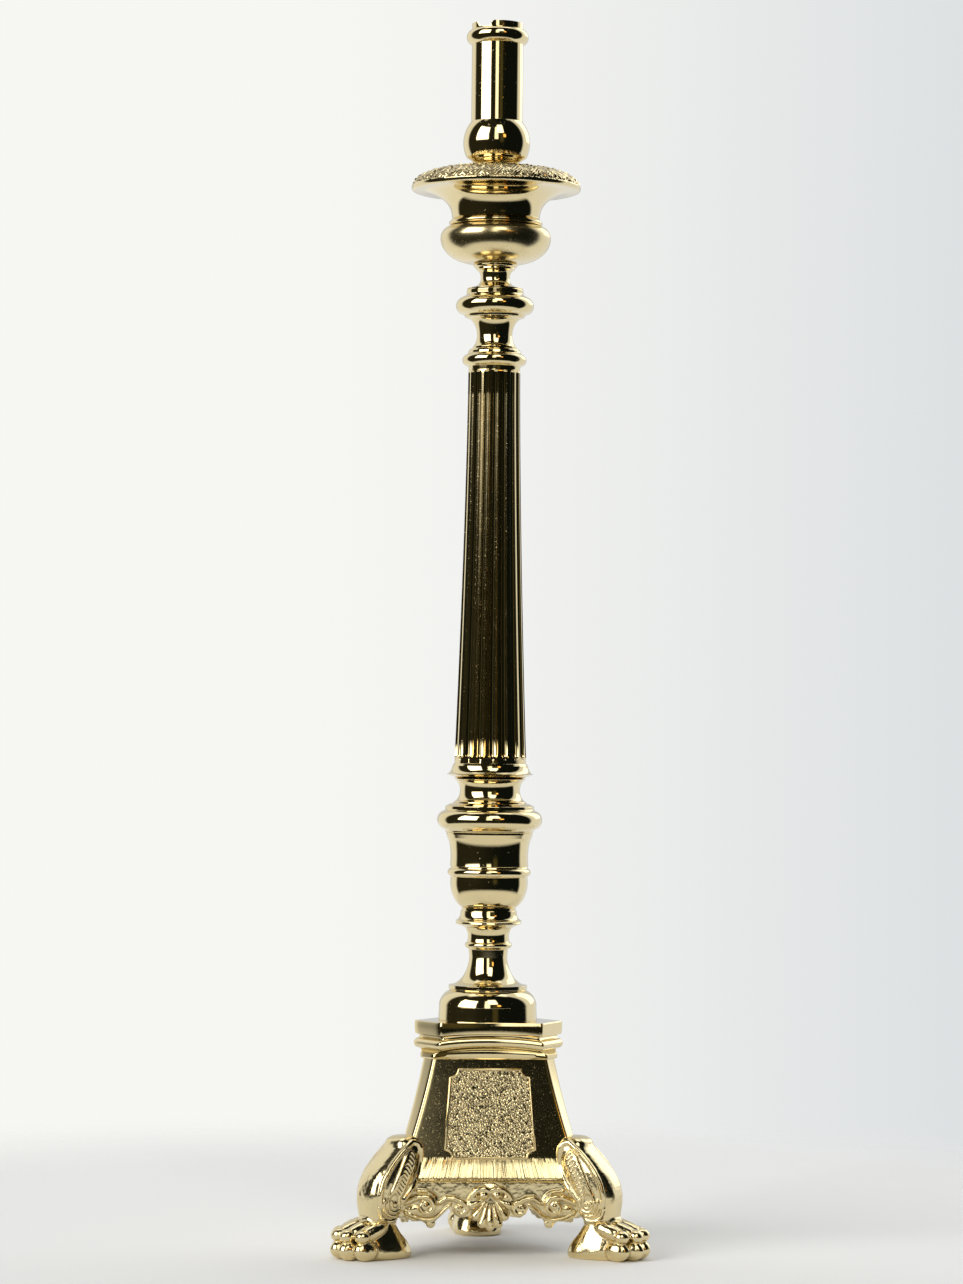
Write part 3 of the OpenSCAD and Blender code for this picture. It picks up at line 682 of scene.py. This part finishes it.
def fluted_column():
    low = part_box("fluted_column")[0].z
    full = column_radius(0) * FLUTE_SHARE * math.pi / FLUTES
    slim = column_radius(COLUMN_L) * FLUTE_SHARE * math.pi / FLUTES
    ends = [math.sin(math.radians(a)) for a in (0, 18, 34, 48, 60, 70)]
    seat = 5.2
    heights = [0, 2.4] + sorted(FLUTE_END + full * (1 - s) for s in ends)
    heights += [20 + 238 * i / 60 for i in range(61)]
    heights += sorted(COLUMN_L - FLUTE_END - slim * (1 - s) for s in ends)
    heights += [COLUMN_L - 2.4, COLUMN_L]
    outline = [(20, 0)] + [(column_radius(h), h) for h in heights]
    outline += [(13, COLUMN_L), (13, COLUMN_L - seat), (12, COLUMN_L - seat)]
    outline += [(18, seat), (20, seat), (20, 0)]
    steps = FLUTES * SAMPLES
    bm = revolve(outline, low, steps)
    for vert in bm.verts:
        height = (vert.co.z - low) / MM
        radius = column_radius(min(max(height, 0), COLUMN_L))
        if vert.co.xy.length / MM < radius - 0.3:
            continue
        place = round(math.atan2(vert.co.y, vert.co.x) / TURN * steps) % steps
        flute, sample = divmod(place, SAMPLES)
        cutter = flute_cut(height)
        half = flute_edge(radius, cutter) if cutter else 0.0
        half = max(half, 0.12 * math.pi / FLUTES)
        fillet = math.pi / FLUTES - half
        if sample < 2:
            angle = (2 * sample - 1) * fillet
        else:
            angle = fillet + 2 * half * (sample - 1) / (SAMPLES - 1)
        inside = angle - math.pi / FLUTES
        reach = radius
        if cutter and sample >= 2:
            centre = radius + STAND_OFF
            chord = cutter ** 2 - (centre * math.sin(inside)) ** 2
            reach = centre * math.cos(inside) - math.sqrt(max(0, chord))
            pits = noise.noise(Vector((flute * 3.7, inside * 60, height * 0.42)))
            fine = noise.noise(Vector((flute, inside * 200, height * 1.6)))
            reach -= 0.03 * max(0, pits) + 0.004 * fine
        turn = angle + (flute + 0.5) * TURN / FLUTES - math.pi / FLUTES
        vert.co.x = min(reach, radius) * math.cos(turn) * MM
        vert.co.y = min(reach, radius) * math.sin(turn) * MM
    bmesh.ops.recalc_face_normals(bm, faces=bm.faces)
    return finish_piece("fluted_column_cut", bm, FLUTED, "stand", ["fluted_column"], sharp=30)


fluted_column()

# %% [markdown]
# ## The three-sided base
# Body and cornice share one plan: a triangle with its corners cut off. A ring of points is
# laid on that plan and extruded upwards, and at each level the whole ring is laid on the plan
# again at that level's size. On the cornice the long sides are hollow, and its mouldings
# droop a little towards the corners, as they do on the casting.

# %% Plan and loft
def plan_point(part, along, face, facet, hollow):
    """A point of the plan: part 0, 2, 4 is a long side and 1, 3, 5 the facet after it."""
    side = math.sqrt(3) * face - facet
    angle = TURN / 6 * (part - part % 2)
    if part % 2:
        first = Vector((side, -face))
        nextside = Matrix.Rotation(TURN / 3, 2) @ Vector((-side, -face))
        point = first.lerp(nextside, along)
    else:
        point = Vector((side * (2 * along - 1), -face + hollow * (1 - (2 * along - 1) ** 2)))
    return Matrix.Rotation(angle, 2) @ point


def crowd(along):
    """Draws evenly spaced places towards both ends of a side, where the corners are."""
    return 0.5 - 0.5 * math.cos(math.pi * along)


def lay_ring(ring, level, shape, long_steps, facet_steps):
    """Puts a ring on the plan, with eased corners. shape is face, facet, hollow and droop."""
    face, facet, hollow, droop = shape
    points = []
    for i in range(len(ring)):
        third, place = divmod(i, long_steps + facet_steps)
        if place < long_steps:
            part, along = 2 * third, crowd(place / long_steps)
            fall = droop * abs(2 * along - 1) ** 2.5
        else:
            part, along = 2 * third + 1, crowd((place - long_steps) / facet_steps)
            fall = droop
        flat = plan_point(part, along, face, facet, hollow) * MM
        points.append(Vector((flat.x, flat.y, level - fall * MM)))
    for _ in range(4):
        after = points[1:] + points[:1]
        before = points[-1:] + points[:-1]
        points = [each / 2 + (a + b) / 4 for a, each, b in zip(before, points, after)]
    for vert, point in zip(ring, points):
        vert.co = point


def plan_loft(levels, base_z, long_steps=36, facet_steps=8):
    """A closed solid through the plan at each level: (height, face, facet, hollow, droop)."""
    bm = bmesh.new()
    count = 3 * (long_steps + facet_steps)
    cap = first_cap(bm, count)[0]
    lay_ring(cap.verts, base_z + levels[0][0] * MM, levels[0][1:], long_steps, facet_steps)
    for height, *shape in levels[1:]:
        cap = raise_cap(bm, cap)
        lay_ring(cap.verts, base_z + height * MM, shape, long_steps, facet_steps)
    bmesh.ops.recalc_face_normals(bm, faces=bm.faces)
    return bm


def bore(bm, radius, low, high, segments=96):
    """Drills a round hole down the axis, from height low to height high in metres."""
    drill = bmesh.new()
    place = Matrix.Translation((0, 0, (low + high) / 2))
    bmesh.ops.create_cone(drill, cap_ends=True, segments=segments, radius1=radius * MM,
                          radius2=radius * MM, depth=high - low, matrix=place)
    return carve(bm, drill)


# %% [markdown]
# The cornice is a cast stack of mouldings: a low step, a round torus, a groove and the top
# plate. Its plan changes with the height, so each level is a ring laid on the plan, and a
# cap is raised through them. It is bored out from below, with the rod's hole in its top.

# %% Cornice
def base_cornice():
    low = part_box("base_cornice")[0].z
    top = 25.5
    torus = [(12.2 + 3.6 * math.sin(math.radians(a)), 36.6 + 3.2 * math.cos(math.radians(a)))
             for a in range(-80, 81, 20)]
    levels = [(0, 31, 14, 1.6, 0), (2.2, 32.2, 16.4, 1.8, 1.8), (3.2, 32.8, 17.4, 2, 2.2),
              (5.4, 32.8, 17.6, 2, 2.2), (6.4, 32.4, 18, 2.2, 2.2), (7.4, 33.6, 22, 2.4, 2.2),
              (8.2, 35.6, 28, 2.6, 2.2)]
    levels += [(h, face, 30 + (face - 36.6) * 0.9, 2.6, 2.2) for h, face in torus]
    levels += [(16.6, 37, 31, 2.6, 2.0), (17.2, 37.2, 31.6, 2.6, 1.8), (17.9, 39.2, 33, 2.6, 1.4),
               (21, 39.6, 33.4, 2.6, 0.8), (24.6, 39.5, 33.2, 2.6, 0.2), (top, 39.2, 33, 2.6, 0)]
    bm = plan_loft(levels, low)
    bore(bm, 24, low - MM, low + 18 * MM)
    bore(bm, ROD_HOLE, low, low + 30 * MM, 48)
    return finish_piece("base_cornice_cast", bm, WARM, "stand", ["base_cornice"], sharp=32)


base_cornice()

# %% [markdown]
# The body leans in towards the top and kicks out at its foot. It is a casting with a wall of
# four millimetres, open below, with a hole for the rod in its top. The inside is a second
# loft on the same plan, carved out of the first.

# %% Body
BODY_Z = 52
BODY_H = 82.5
KICK = 20.6
WALL = 4


def body_face(height):
    """Distance from the axis to the long face at a height above the body's edge."""
    up = max(height, KICK)
    drop = BODY_H - 2.5 - up
    face = (2 * (46.2 + 0.2 * drop + 0.001 * drop ** 2) + 10 + 3 * up / BODY_H) / (2 * math.sqrt(3))
    below = max(0, KICK - height)
    return face + 0.215 * below + 0.006 * below ** 2


def body_facet(height):
    return 10 + 3 * height / BODY_H


def base_body():
    outer = [(-0.2, 44.6, 10), (0, 45.3, 10), (0.6, 45.9, 10.2), (1.4, 45.8, 10.2), (1.9, 44.9, 10)]
    heights = [2.1, 4, 7, 10, 13, 16, 18, 19.5, KICK, 22, 24, *range(30, 83, 6), BODY_H]
    outer += [(h, body_face(h), body_facet(h)) for h in heights]
    bm = plan_loft([(*each, 0, 0) for each in outer], BODY_Z * MM)
    hollow = [(h, body_face(h) - WALL, body_facet(h)) for h in (-3, 7, 13, KICK, 40, 60, BODY_H - 6)]
    carve(bm, plan_loft([(*each, 0, 0) for each in hollow], BODY_Z * MM, 8, 2))
    bore(bm, ROD_HOLE, (BODY_Z + 60) * MM, (BODY_Z + 90) * MM, 48)
    return finish_piece("base_body_cast", bm, WARM, "stand", ["base_body"], sharp=32)


base_body()

# %% [markdown]
# Each face carries a sunk panel, shaped like a ticket with a quarter circle cut from every
# corner. A thin bright lip runs round it, and its ground is stippled all over with a punch
# so that it sparkles without shining. The grain is real: a fine grid lies on the sloping
# face, and a cellular noise with a finer smooth one pushes its points in and out.

# %% Panels
PANEL_LOW = 15.4
PANEL_HIGH = 75.6
PANEL_FOOT = 31.2
PANEL_HEAD = 27.2
PANEL_BITE = 5.6
PANEL_PROUD = 0.35
PANEL_SKIRT = 1.6


def panel_outline():
    """The ticket shape in millimetres, as (across, height) points taken anticlockwise."""
    right = arc((PANEL_FOOT, PANEL_LOW), PANEL_BITE, 180, 92)
    right += arc((PANEL_HEAD, PANEL_HIGH), PANEL_BITE, -88, -180)
    left = [(-x, z) for x, z in reversed(right)]
    return right + left


def inside(point, outline):
    """Whether a point lies within a closed outline, by counting the sides it looks across."""
    x, z = point
    odd = False
    for (xa, za), (xb, zb) in zip(outline, outline[1:] + outline[:1]):
        if (za > z) != (zb > z) and x < xa + (z - za) * (xb - xa) / (zb - za):
            odd = not odd
    return odd


def on_face(across, height, proud):
    """A point on the front face of the body, standing proud of it along its normal."""
    slope = body_face(height - 0.5) - body_face(height + 0.5)
    length = math.sqrt(1 + slope ** 2)
    y = -body_face(height) - proud / length
    return Vector((across, y, BODY_Z + height + proud * slope / length)) * MM


def stipple(across, height):
    """Height of the grain, from -0.5 in the pits to 0.5 on the crests."""
    cells = noise.voronoi(Vector((across * 0.62, height * 0.62, 0)))[0]
    small = noise.noise(Vector((across * 1.7, height * 1.7, 4)))
    return max(-0.5, min(0.5, 1.3 * (cells[1] - cells[0]) - 0.5 + 0.3 * small))


def stippled_panel(name, turn, pitch=0.36):
    outline = panel_outline()
    middle = (PANEL_LOW + PANEL_HIGH) / 2
    half = (PANEL_HIGH - PANEL_LOW) / 2
    count = round((PANEL_HIGH - PANEL_LOW) / pitch)
    wide = round(2 * PANEL_FOOT / pitch)
    bm = bmesh.new()
    layer = bm.verts.layers.float.new("hollow")
    bmesh.ops.create_grid(bm, x_segments=wide, y_segments=count, size=1)
    spread = [(vert, vert.co.x * PANEL_FOOT, middle + vert.co.y * half) for vert in bm.verts]
    for vert, across, height in spread:
        grain = stipple(across, height)
        vert.co = on_face(across, height, PANEL_PROUD + 0.95 * grain)
        vert[layer] = 0.5 - grain
    kept = {vert for vert, across, height in spread if inside((across, height), outline)}
    outside = [face for face in bm.faces if not kept.issuperset(face.verts)]
    bmesh.ops.delete(bm, geom=outside, context="FACES")
    rim = [edge for edge in bm.edges if edge.is_boundary]
    made = bmesh.ops.extrude_edge_only(bm, edges=rim)["geom"]
    skirt = [each for each in made if isinstance(each, bmesh.types.BMVert)]
    bmesh.ops.translate(bm, verts=skirt, vec=(0, PANEL_SKIRT * MM, 0))
    bmesh.ops.holes_fill(bm, edges=[edge for edge in bm.edges if edge.is_boundary], sides=0)
    bmesh.ops.recalc_face_normals(bm, faces=bm.faces)
    turn_round(bm, turn)
    return finish_piece(name, bm, STIPPLED, sharp=70)


def panel_lip(name, turn):
    """A thin bead swept round the panel's edge."""
    bm = bmesh.new()
    hoop(bm, [on_face(x, z, PANEL_PROUD) / MM for x, z in panel_outline()], 0.85)
    turn_round(bm, turn)
    return finish_piece(name, bm, CAST, sharp=60)


def hoop(bm, points, radius, sides=10):
    """A round bead along a closed path of points in millimetres."""
    count = len(points)
    rings = []
    for i, point in enumerate(points):
        ahead = (points[(i + 1) % count] - points[i - 1]).normalized()
        side = ahead.cross(Vector((0, -1, 0))).normalized()
        turn = Matrix((side, side.cross(ahead), ahead)).transposed().to_4x4()
        place = Matrix.Translation(point * MM) @ turn
        ring = bmesh.ops.create_circle(bm, segments=sides, radius=radius * MM, matrix=place)
        rings.append(ring["verts"])
    for ring, after in zip(rings, rings[1:] + rings[:1]):
        edges = {e for v in ring for e in v.link_edges if e.other_vert(v) in ring}
        edges |= {e for v in after for e in v.link_edges if e.other_vert(v) in after}
        bmesh.ops.bridge_loops(bm, edges=list(edges))
    bmesh.ops.recalc_face_normals(bm, faces=bm.faces)


for side, turn in (("front", 0), ("right", TURN / 3), ("left", 2 * TURN / 3)):
    stippled_panel(f"panel_{side}", turn)
    panel_lip(f"panel_lip_{side}", turn)

# %% [markdown]
# ## Modelling a casting
# Legs and aprons were carved in wax, and cast from that. The same can be done here: lumps and
# strands are laid on each other until the shape is there, then all of it is melted into one
# skin by a voxel remesh, and smoothed a little. The hollows are then measured against a much
# smoother copy of the skin and kept as an attribute, because polish only reaches the high
# places, and a pale dull skin stays in the low ones.

# %% Wax tools
def lay_on(bm, part):
    """Adds a separately made part to the wax."""
    mesh = bpy.data.meshes.new("part")
    part.to_mesh(mesh)
    part.free()
    bm.from_mesh(mesh)
    bpy.data.meshes.remove(mesh)


def lump(bm, centre, size, tip=0.0):
    """An ellipsoid in millimetres, tipped about its cross axis."""
    part = bmesh.new()
    place = Matrix.Translation(Vector(centre) * MM) @ Matrix.Rotation(tip, 4, "Y")
    place = place @ Matrix.Diagonal((*(s * MM for s in size), 1))
    bmesh.ops.create_uvsphere(part, u_segments=20, v_segments=14, radius=1, matrix=place)
    lay_on(bm, part)


def through(rows, count):
    """A smooth run of rows through the given ones, as a Catmull-Rom spline."""
    rows = [Vector(row) for row in rows]
    last = len(rows) - 1
    width = range(len(rows[0]))
    out = []
    for i in range(count + 1):
        t = i / count * last
        k = min(int(t), last - 1)
        t -= k
        four = [rows[max(0, min(last, k + j))] for j in (-1, 0, 1, 2)]
        weights = (-t ** 3 + 2 * t ** 2 - t, 3 * t ** 3 - 5 * t ** 2 + 2,
                   -3 * t ** 3 + 4 * t ** 2 + t, t ** 3 - t ** 2)
        out.append(tuple(sum(w * row[n] for w, row in zip(weights, four)) / 2 for n in width))
    return out


def strand(bm, rows, count=0, sides=10):
    """A closed rod of wax. Each row is x, y, z and radius; count adds points between them."""
    rows = through(rows, count) if count else rows
    points = [Vector(row[:3]) for row in rows]
    last = len(points) - 1
    part = bmesh.new()
    cap = None
    heading = Vector((0, 0, 1))
    turn = Matrix.Identity(3)
    for i, point in enumerate(points):
        ahead = (points[min(i + 1, last)] - points[max(i - 1, 0)]).normalized()
        turn = heading.rotation_difference(ahead).to_matrix() @ turn
        heading = ahead
        if cap is None:
            cap, flat = first_cap(part, sides)
        else:
            cap = raise_cap(part, cap)
        for vert, spot in zip(cap.verts, flat):
            vert.co = (point + turn @ spot * rows[i][3]) * MM
    lay_on(bm, part)
    for end in (0, last):
        lump(bm, points[end], [rows[end][3]] * 3)


def smooth(bm, rounds):
    """Draws each point half way to the middle of its neighbours, a few times over."""
    for _ in range(rounds):
        bmesh.ops.smooth_vert(bm, verts=bm.verts, factor=0.5,
                              use_axis_x=True, use_axis_y=True, use_axis_z=True)


def melt(bm, voxel, rounds):
    """Fuses everything in the bmesh into one skin of small squares, and smooths it."""
    mesh = bpy.data.meshes.new("wax")
    bm.to_mesh(mesh)
    wax = bpy.data.objects.new("wax", mesh)
    bpy.context.scene.collection.objects.link(wax)
    skin = wax.modifiers.new("skin", "REMESH")
    skin.mode = "VOXEL"
    skin.voxel_size = voxel * MM
    ready = wax.evaluated_get(bpy.context.evaluated_depsgraph_get()).to_mesh()
    bm.clear()
    bm.from_mesh(ready)
    bpy.data.meshes.remove(mesh)
    smooth(bm, rounds)
    bmesh.ops.recalc_face_normals(bm, faces=bm.faces)


def cast_skin(bm, depth, scale):
    """The slight unevenness that a sand mould leaves."""
    bm.normal_update()
    for vert in bm.verts:
        rough = noise.noise(vert.co * scale) + 0.5 * noise.noise(vert.co * scale * 2.7)
        vert.co += vert.normal * rough * depth * MM


def measure_hollows(bm, rounds=14, full=0.35):
    """Keeps on each point how deep it lies below a smoothed copy of the skin, 0 to 1."""
    bm.normal_update()
    before = [(vert.co.copy(), vert.normal.copy()) for vert in bm.verts]
    smooth(bm, rounds)
    layer = bm.verts.layers.float.new("hollow")
    for vert, (place, normal) in zip(bm.verts, before):
        vert[layer] = max(0.0, min(1.0, 0.5 + (vert.co - place).dot(normal) / (2 * full * MM)))
        vert.co = place


def placed_copy(pattern, name, turn, replaces):
    """One casting from the pattern, turned to its place round the axis."""
    bm = pattern.copy()
    turn_round(bm, turn)
    return finish_piece(name, bm, CAST, "stand", [replaces], sharp=70)

# %% [markdown]
# ## The paw feet
# A leg drops from the corner of the base in an S and ends in a lion's paw. The pattern is
# modelled once, reaching along +X. The leg and the paw's pad are stacks of level sections.
# The raised rims, the hair between them and the toes are strands and lumps on top.

# %% Leg sections
# Height, then the section's middle, half depth and half width
LEG_ROWS = [(83, 69, 2.5, 3), (82, 69, 6, 8), (79.5, 69.4, 9.2, 11.4), (75, 69.5, 11, 13.2),
            (66, 74.6, 14.4, 14.4), (57, 79.3, 17.4, 15), (47, 83.4, 17.8, 15), (38, 86.6, 15.2, 14),
            (30, 88.8, 12, 12.4), (24, 89.6, 11.6, 11.8), (18, 91, 12.6, 12.6), (12, 92, 14, 14)]
PAD_ROWS = [(0, 87, 19.6, 15.4), (1.2, 87, 21, 17), (5, 87.4, 21.2, 17.6), (11, 88.6, 19.4, 16.6),
            (17, 89.8, 15.8, 14.4), (23, 90.4, 12.6, 12.4), (28, 90, 11.6, 11.4)]


def stack(bm, rows, square, count=44, sides=48):
    """Level sections stacked into a closed solid. square makes them boxier than an ellipse."""
    cap = None
    for height, middle, deep, wide in through([tuple(row) for row in rows], count):
        if cap is None:
            cap, flat = first_cap(bm, sides)
        else:
            cap = raise_cap(bm, cap)
        for vert, spot in zip(cap.verts, flat):
            x = math.copysign(abs(spot.x) ** (2 / square), spot.x)
            y = math.copysign(abs(spot.y) ** (2 / square), spot.y)
            vert.co = Vector((middle + x * deep, y * wide, height)) * MM


def leg_side(reach, height):
    """How far out the leg's side lies at a reach and a height."""
    rows = sorted(LEG_ROWS)
    for low, high in zip(rows, rows[1:]):
        if low[0] <= height <= high[0]:
            t = (height - low[0]) / (high[0] - low[0])
            middle, deep, wide = (a + (b - a) * t for a, b in zip(low[1:], high[1:]))
            off = min(1, abs(reach - middle) / deep)
            return wide * (1 - off ** 3.2) ** (1 / 3.2)
    return 0


def on_side(path, hand, proud=0.0):
    """Lays (reach, height, radius) rows on the leg's left or right side."""
    return [(x, hand * (leg_side(x, z) + proud), z, r) for x, z, r in through(path, 5 * len(path))]

# %% [markdown]
# Three rims frame each side of the leg. Between them lies the hair: tufts that part from a
# middle line, and three curls round a bead. The paw has four toes. All are laid on as
# strands and lumps, as a modeller lays wax on a pattern, and then melted into one skin.

# %% Rims and hair
OUTER_RIM = [(69, 79, 1.7), (76, 74, 1.8), (85, 65, 1.8), (92, 55, 1.8), (95.5, 45, 1.7), (95, 36, 1.4)]
INNER_RIM = [(69, 79, 1.8), (64, 77, 2.2), (61.6, 70, 2.5), (62.4, 62, 2.6), (66.5, 53, 2.6),
             (72, 45.5, 2.5), (77, 40, 2.1)]
LOWER_RIM = [(76, 33, 1.0), (81, 27.5, 1.3), (87.5, 26, 1.4), (93.5, 29, 1.3), (96, 35, 1.1)]


def hair(bm, hand):
    """Tufts that part from a middle line, as the barbs of a feather do, and three curls."""
    for k in range(12):
        t = k / 11
        x, z = 71 + 13 * t, 73 - 27 * t
        size = 1.0 - 0.15 * abs(2 * t - 1)
        fall = 7.5 - 2 * t
        outward = [(x, z, size), (x + 4.2, z - 0.4 * fall, size), (x + 6.8 - t, z - fall, 0.6)]
        inward = [(x, z, size), (x - 2.6, z - 0.6 * fall, size), (x - 3 + t, z - fall - 2, 0.6)]
        strand(bm, on_side(outward, hand, 0.6))
        strand(bm, on_side(inward, hand, 0.6))
    for radius in (3.2, 6.2, 9.2):
        angles = [math.radians(a) for a in range(150, 381, 23)]
        curl = [(84 + radius * math.cos(a), 37.5 + 0.9 * radius * math.sin(a), 1.0) for a in angles]
        strand(bm, on_side(curl, hand, 0.5))
    lump(bm, (84, hand * (leg_side(84, 37.5) - 0.6), 37.5), (2, 2, 2))


def toe(bm, side, front, splay):
    """One toe: a long upper joint that comes down from the ankle, and a round one under it."""
    def at(back, height):
        return (front - back, side * (1 - back * splay), height)

    lump(bm, at(15, 19.6), (13.5, 5.7, 5.2), math.radians(22))
    lump(bm, at(6.2, 16.8), (5.6, 5.6, 4.7), math.radians(12))
    lump(bm, at(9.4, 6.9), (9.4, 6, 7.1))


def leg_pattern():
    bm = bmesh.new()
    stack(bm, LEG_ROWS, 3.2)
    stack(bm, PAD_ROWS, 2.6)
    for side, front, splay in ((5.4, 123.2, 0.004), (15.2, 116.8, 0.007)):
        for hand in (-1, 1):
            toe(bm, hand * side, front, splay)
    for hand in (-1, 1):
        strand(bm, on_side(OUTER_RIM, hand))
        strand(bm, on_side(INNER_RIM, hand))
        strand(bm, on_side(LOWER_RIM, hand))
        hair(bm, hand)
    melt(bm, 0.5, 2)
    cast_skin(bm, 0.22, 120)
    measure_hollows(bm)
    return bm


pattern = leg_pattern()
# The leg's back is cut to the body, with a little of it let into the metal
LET_IN = 1.2
room = [(h, body_face(h) - LET_IN, body_facet(h)) for h in (0.2, 7, 13, KICK, 40, 60, BODY_H)]
corner = plan_loft([(*each, 0, 0) for each in room], BODY_Z * MM, 8, 2)
turn_round(corner, TURN / 12)
carve(pattern, corner)
# The sole is ground flat, a tenth of a millimetre above the floor
SOLE_Z = 0.0001
whole = pattern.verts[:] + pattern.edges[:] + pattern.faces[:]
cut = bmesh.ops.bisect_plane(pattern, geom=whole, plane_co=(0, 0, SOLE_Z), plane_no=(0, 0, -1),
                             clear_outer=True)["geom_cut"]
sole = [each for each in cut if isinstance(each, bmesh.types.BMEdge)]
bmesh.ops.holes_fill(pattern, edges=sole, sides=0)
bmesh.ops.recalc_face_normals(pattern, faces=pattern.faces)
for name, degrees in (("leg_left", 210), ("leg_right", 330), ("leg_rear", 90)):
    placed_copy(pattern, f"{name}_cast", math.radians(degrees), name)
pattern.free()

# %% [markdown]
# ## The aprons
# Between the legs, below each face, hangs a pierced-looking apron: a band, two pairs of
# scrolls and a scallop shell in the middle. It is made like the legs, from a plate with
# strands and lumps on it, and the right half is mirrored to make the left.

# %% Apron
APRON_FRONT = 43.9
# Lower edge of the plate's right half, from the shell out to the leg
APRON_EDGE = [(0, 24), (13, 28), (17, 27.4), (21, 27), (24.8, 29.4), (26.6, 34.4), (29, 35.6),
              (31.6, 33.4), (35.4, 28), (38.4, 22.6), (41, 20.2), (43.4, 22.6), (47, 24.6),
              (53, 24.4), (58, 27), (62, 34)]


def plate(bm, outline, front, back):
    """A flat plate cut to an outline of (x, z) points."""
    face = bm.faces.new([bm.verts.new((x * MM, front * MM, z * MM)) for x, z in outline])
    bmesh.ops.translate(bm, verts=raise_cap(bm, face).verts, vec=(0, (back - front) * MM, 0))


def spiral(centre, wide, eye, turns, depth, thick):
    """Rows of a scroll that winds out from its eye and ends at its top."""
    rows = []
    steps = int(18 * turns)
    for i in range(steps + 1):
        t = i / steps
        angle = math.radians(90 + 360 * turns * (1 - t))
        radius = eye + (wide - eye) * t
        rows.append((centre[0] + radius * math.cos(angle), depth, centre[1] + radius * math.sin(angle),
                     thick * (0.75 + 0.25 * t)))
    return rows


def half_apron(bm):
    """The right half: both scrolls, the lower border and half of the shell's edge."""
    proud = -APRON_FRONT - 0.6
    inner = spiral((20.6, 33.2), 5.2, 1.3, 1.2, proud - 1.2, 1.9)
    inner += [(25, proud - 0.8, 40.2, 1.9), (30, proud - 0.5, 40.6, 1.8)]
    strand(bm, inner + [(34.5, proud - 0.2, 37.6, 1.5)])
    outer = spiral((44.4, 35), 6.4, 1.5, 1.2, proud - 1.4, 2.1)
    outer += [(50, proud - 0.9, 41.2, 2.1), (55.5, proud - 0.6, 38.6, 2)]
    strand(bm, outer + [(60, proud - 0.4, 37, 1.9)])
    lump(bm, (20.6, proud - 0.6, 33.2), (2.4, 2.4, 2.4))
    lump(bm, (44.4, proud - 0.8, 35), (2.8, 2.6, 2.8))
    strand(bm, [(27.5, proud + 0.4, 35.8, 0.9), (32, proud + 0.3, 31.6, 1.2),
                (37, proud + 0.2, 27.4, 1.4), (43, proud + 0.2, 25.6, 1.4),
                (50, proud + 0.2, 27, 1.3), (58, proud + 0.4, 30.5, 1.2)], 24)
    lump(bm, (40.8, proud + 0.8, 23.2), (3.4, 1.8, 3.4))
    lump(bm, (52.5, proud + 0.9, 32.6), (4.6, 1.6, 3.2))
    strand(bm, [(36.6, proud + 0.5, 37, 1.1), (38.2, proud + 0.3, 41.6, 1.1),
                (43, proud + 0.3, 44.8, 1.0), (50, proud + 0.4, 45.4, 0.9)], 16)
    strand(bm, [(0, proud - 2.4, 45.2, 1.8), (4.6, proud - 2.7, 47.2, 2.1), (9.6, proud - 2.3, 45.8, 2),
                (13.4, proud - 1.5, 41.6, 1.7), (15, proud - 0.8, 37.6, 1.4)], 22)
    lump(bm, (4.6, proud - 2.4, 42.7), (3.3, 3.2, 2.9))
    lump(bm, (11, proud - 1.4, 41.2), (2.6, 2.4, 2.3))


def apron_pattern():
    bm = bmesh.new()
    half_apron(bm)
    left = bm.copy()
    bmesh.ops.scale(left, verts=left.verts, vec=(-1, 1, 1))
    lay_on(bm, left)
    edge = [(-x, z) for x, z in reversed(APRON_EDGE[1:])] + APRON_EDGE
    plate(bm, edge + [(60, 51.8), (-60, 51.8)], -APRON_FRONT, -APRON_FRONT + 4.4)
    lump(bm, (0, -APRON_FRONT + 1, 36), (13.4, 3.6, 15))
    for k in range(-3, 4):
        angle = math.radians(25 * k)
        sine, cosine = math.sin(angle), math.cos(angle)
        rows = [(3 * sine, -APRON_FRONT - 1.2, 41 - 2 * cosine, 0.9),
                (7.6 * sine, -APRON_FRONT - 2.4, 41 - 9.5 * cosine, 1.5),
                (11 * sine, -APRON_FRONT - 3.0, 41 - 15.6 * cosine, 2.3),
                (13 * sine, -APRON_FRONT - 2.0, 41 - 19.6 * cosine, 3.3)]
        strand(bm, rows, 12)
    melt(bm, 0.5, 2)
    cast_skin(bm, 0.12, 180)
    measure_hollows(bm, 12, 0.30)
    return bm


pattern = apron_pattern()
for side, degrees in (("front", 0), ("right", 120), ("left", 240)):
    placed_copy(pattern, f"apron_{side}_cast", math.radians(degrees), f"apron_{side}")
pattern.free()

# %% [markdown]
# ## Steel fastenings
# The rod, nuts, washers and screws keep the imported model's own shapes, and get plain steel.

# %% Fastenings
for name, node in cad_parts.items():
    if not node.hide_render:
        node.data.materials.clear()
        node.data.materials.append(STEEL)
        print("steel on", name)
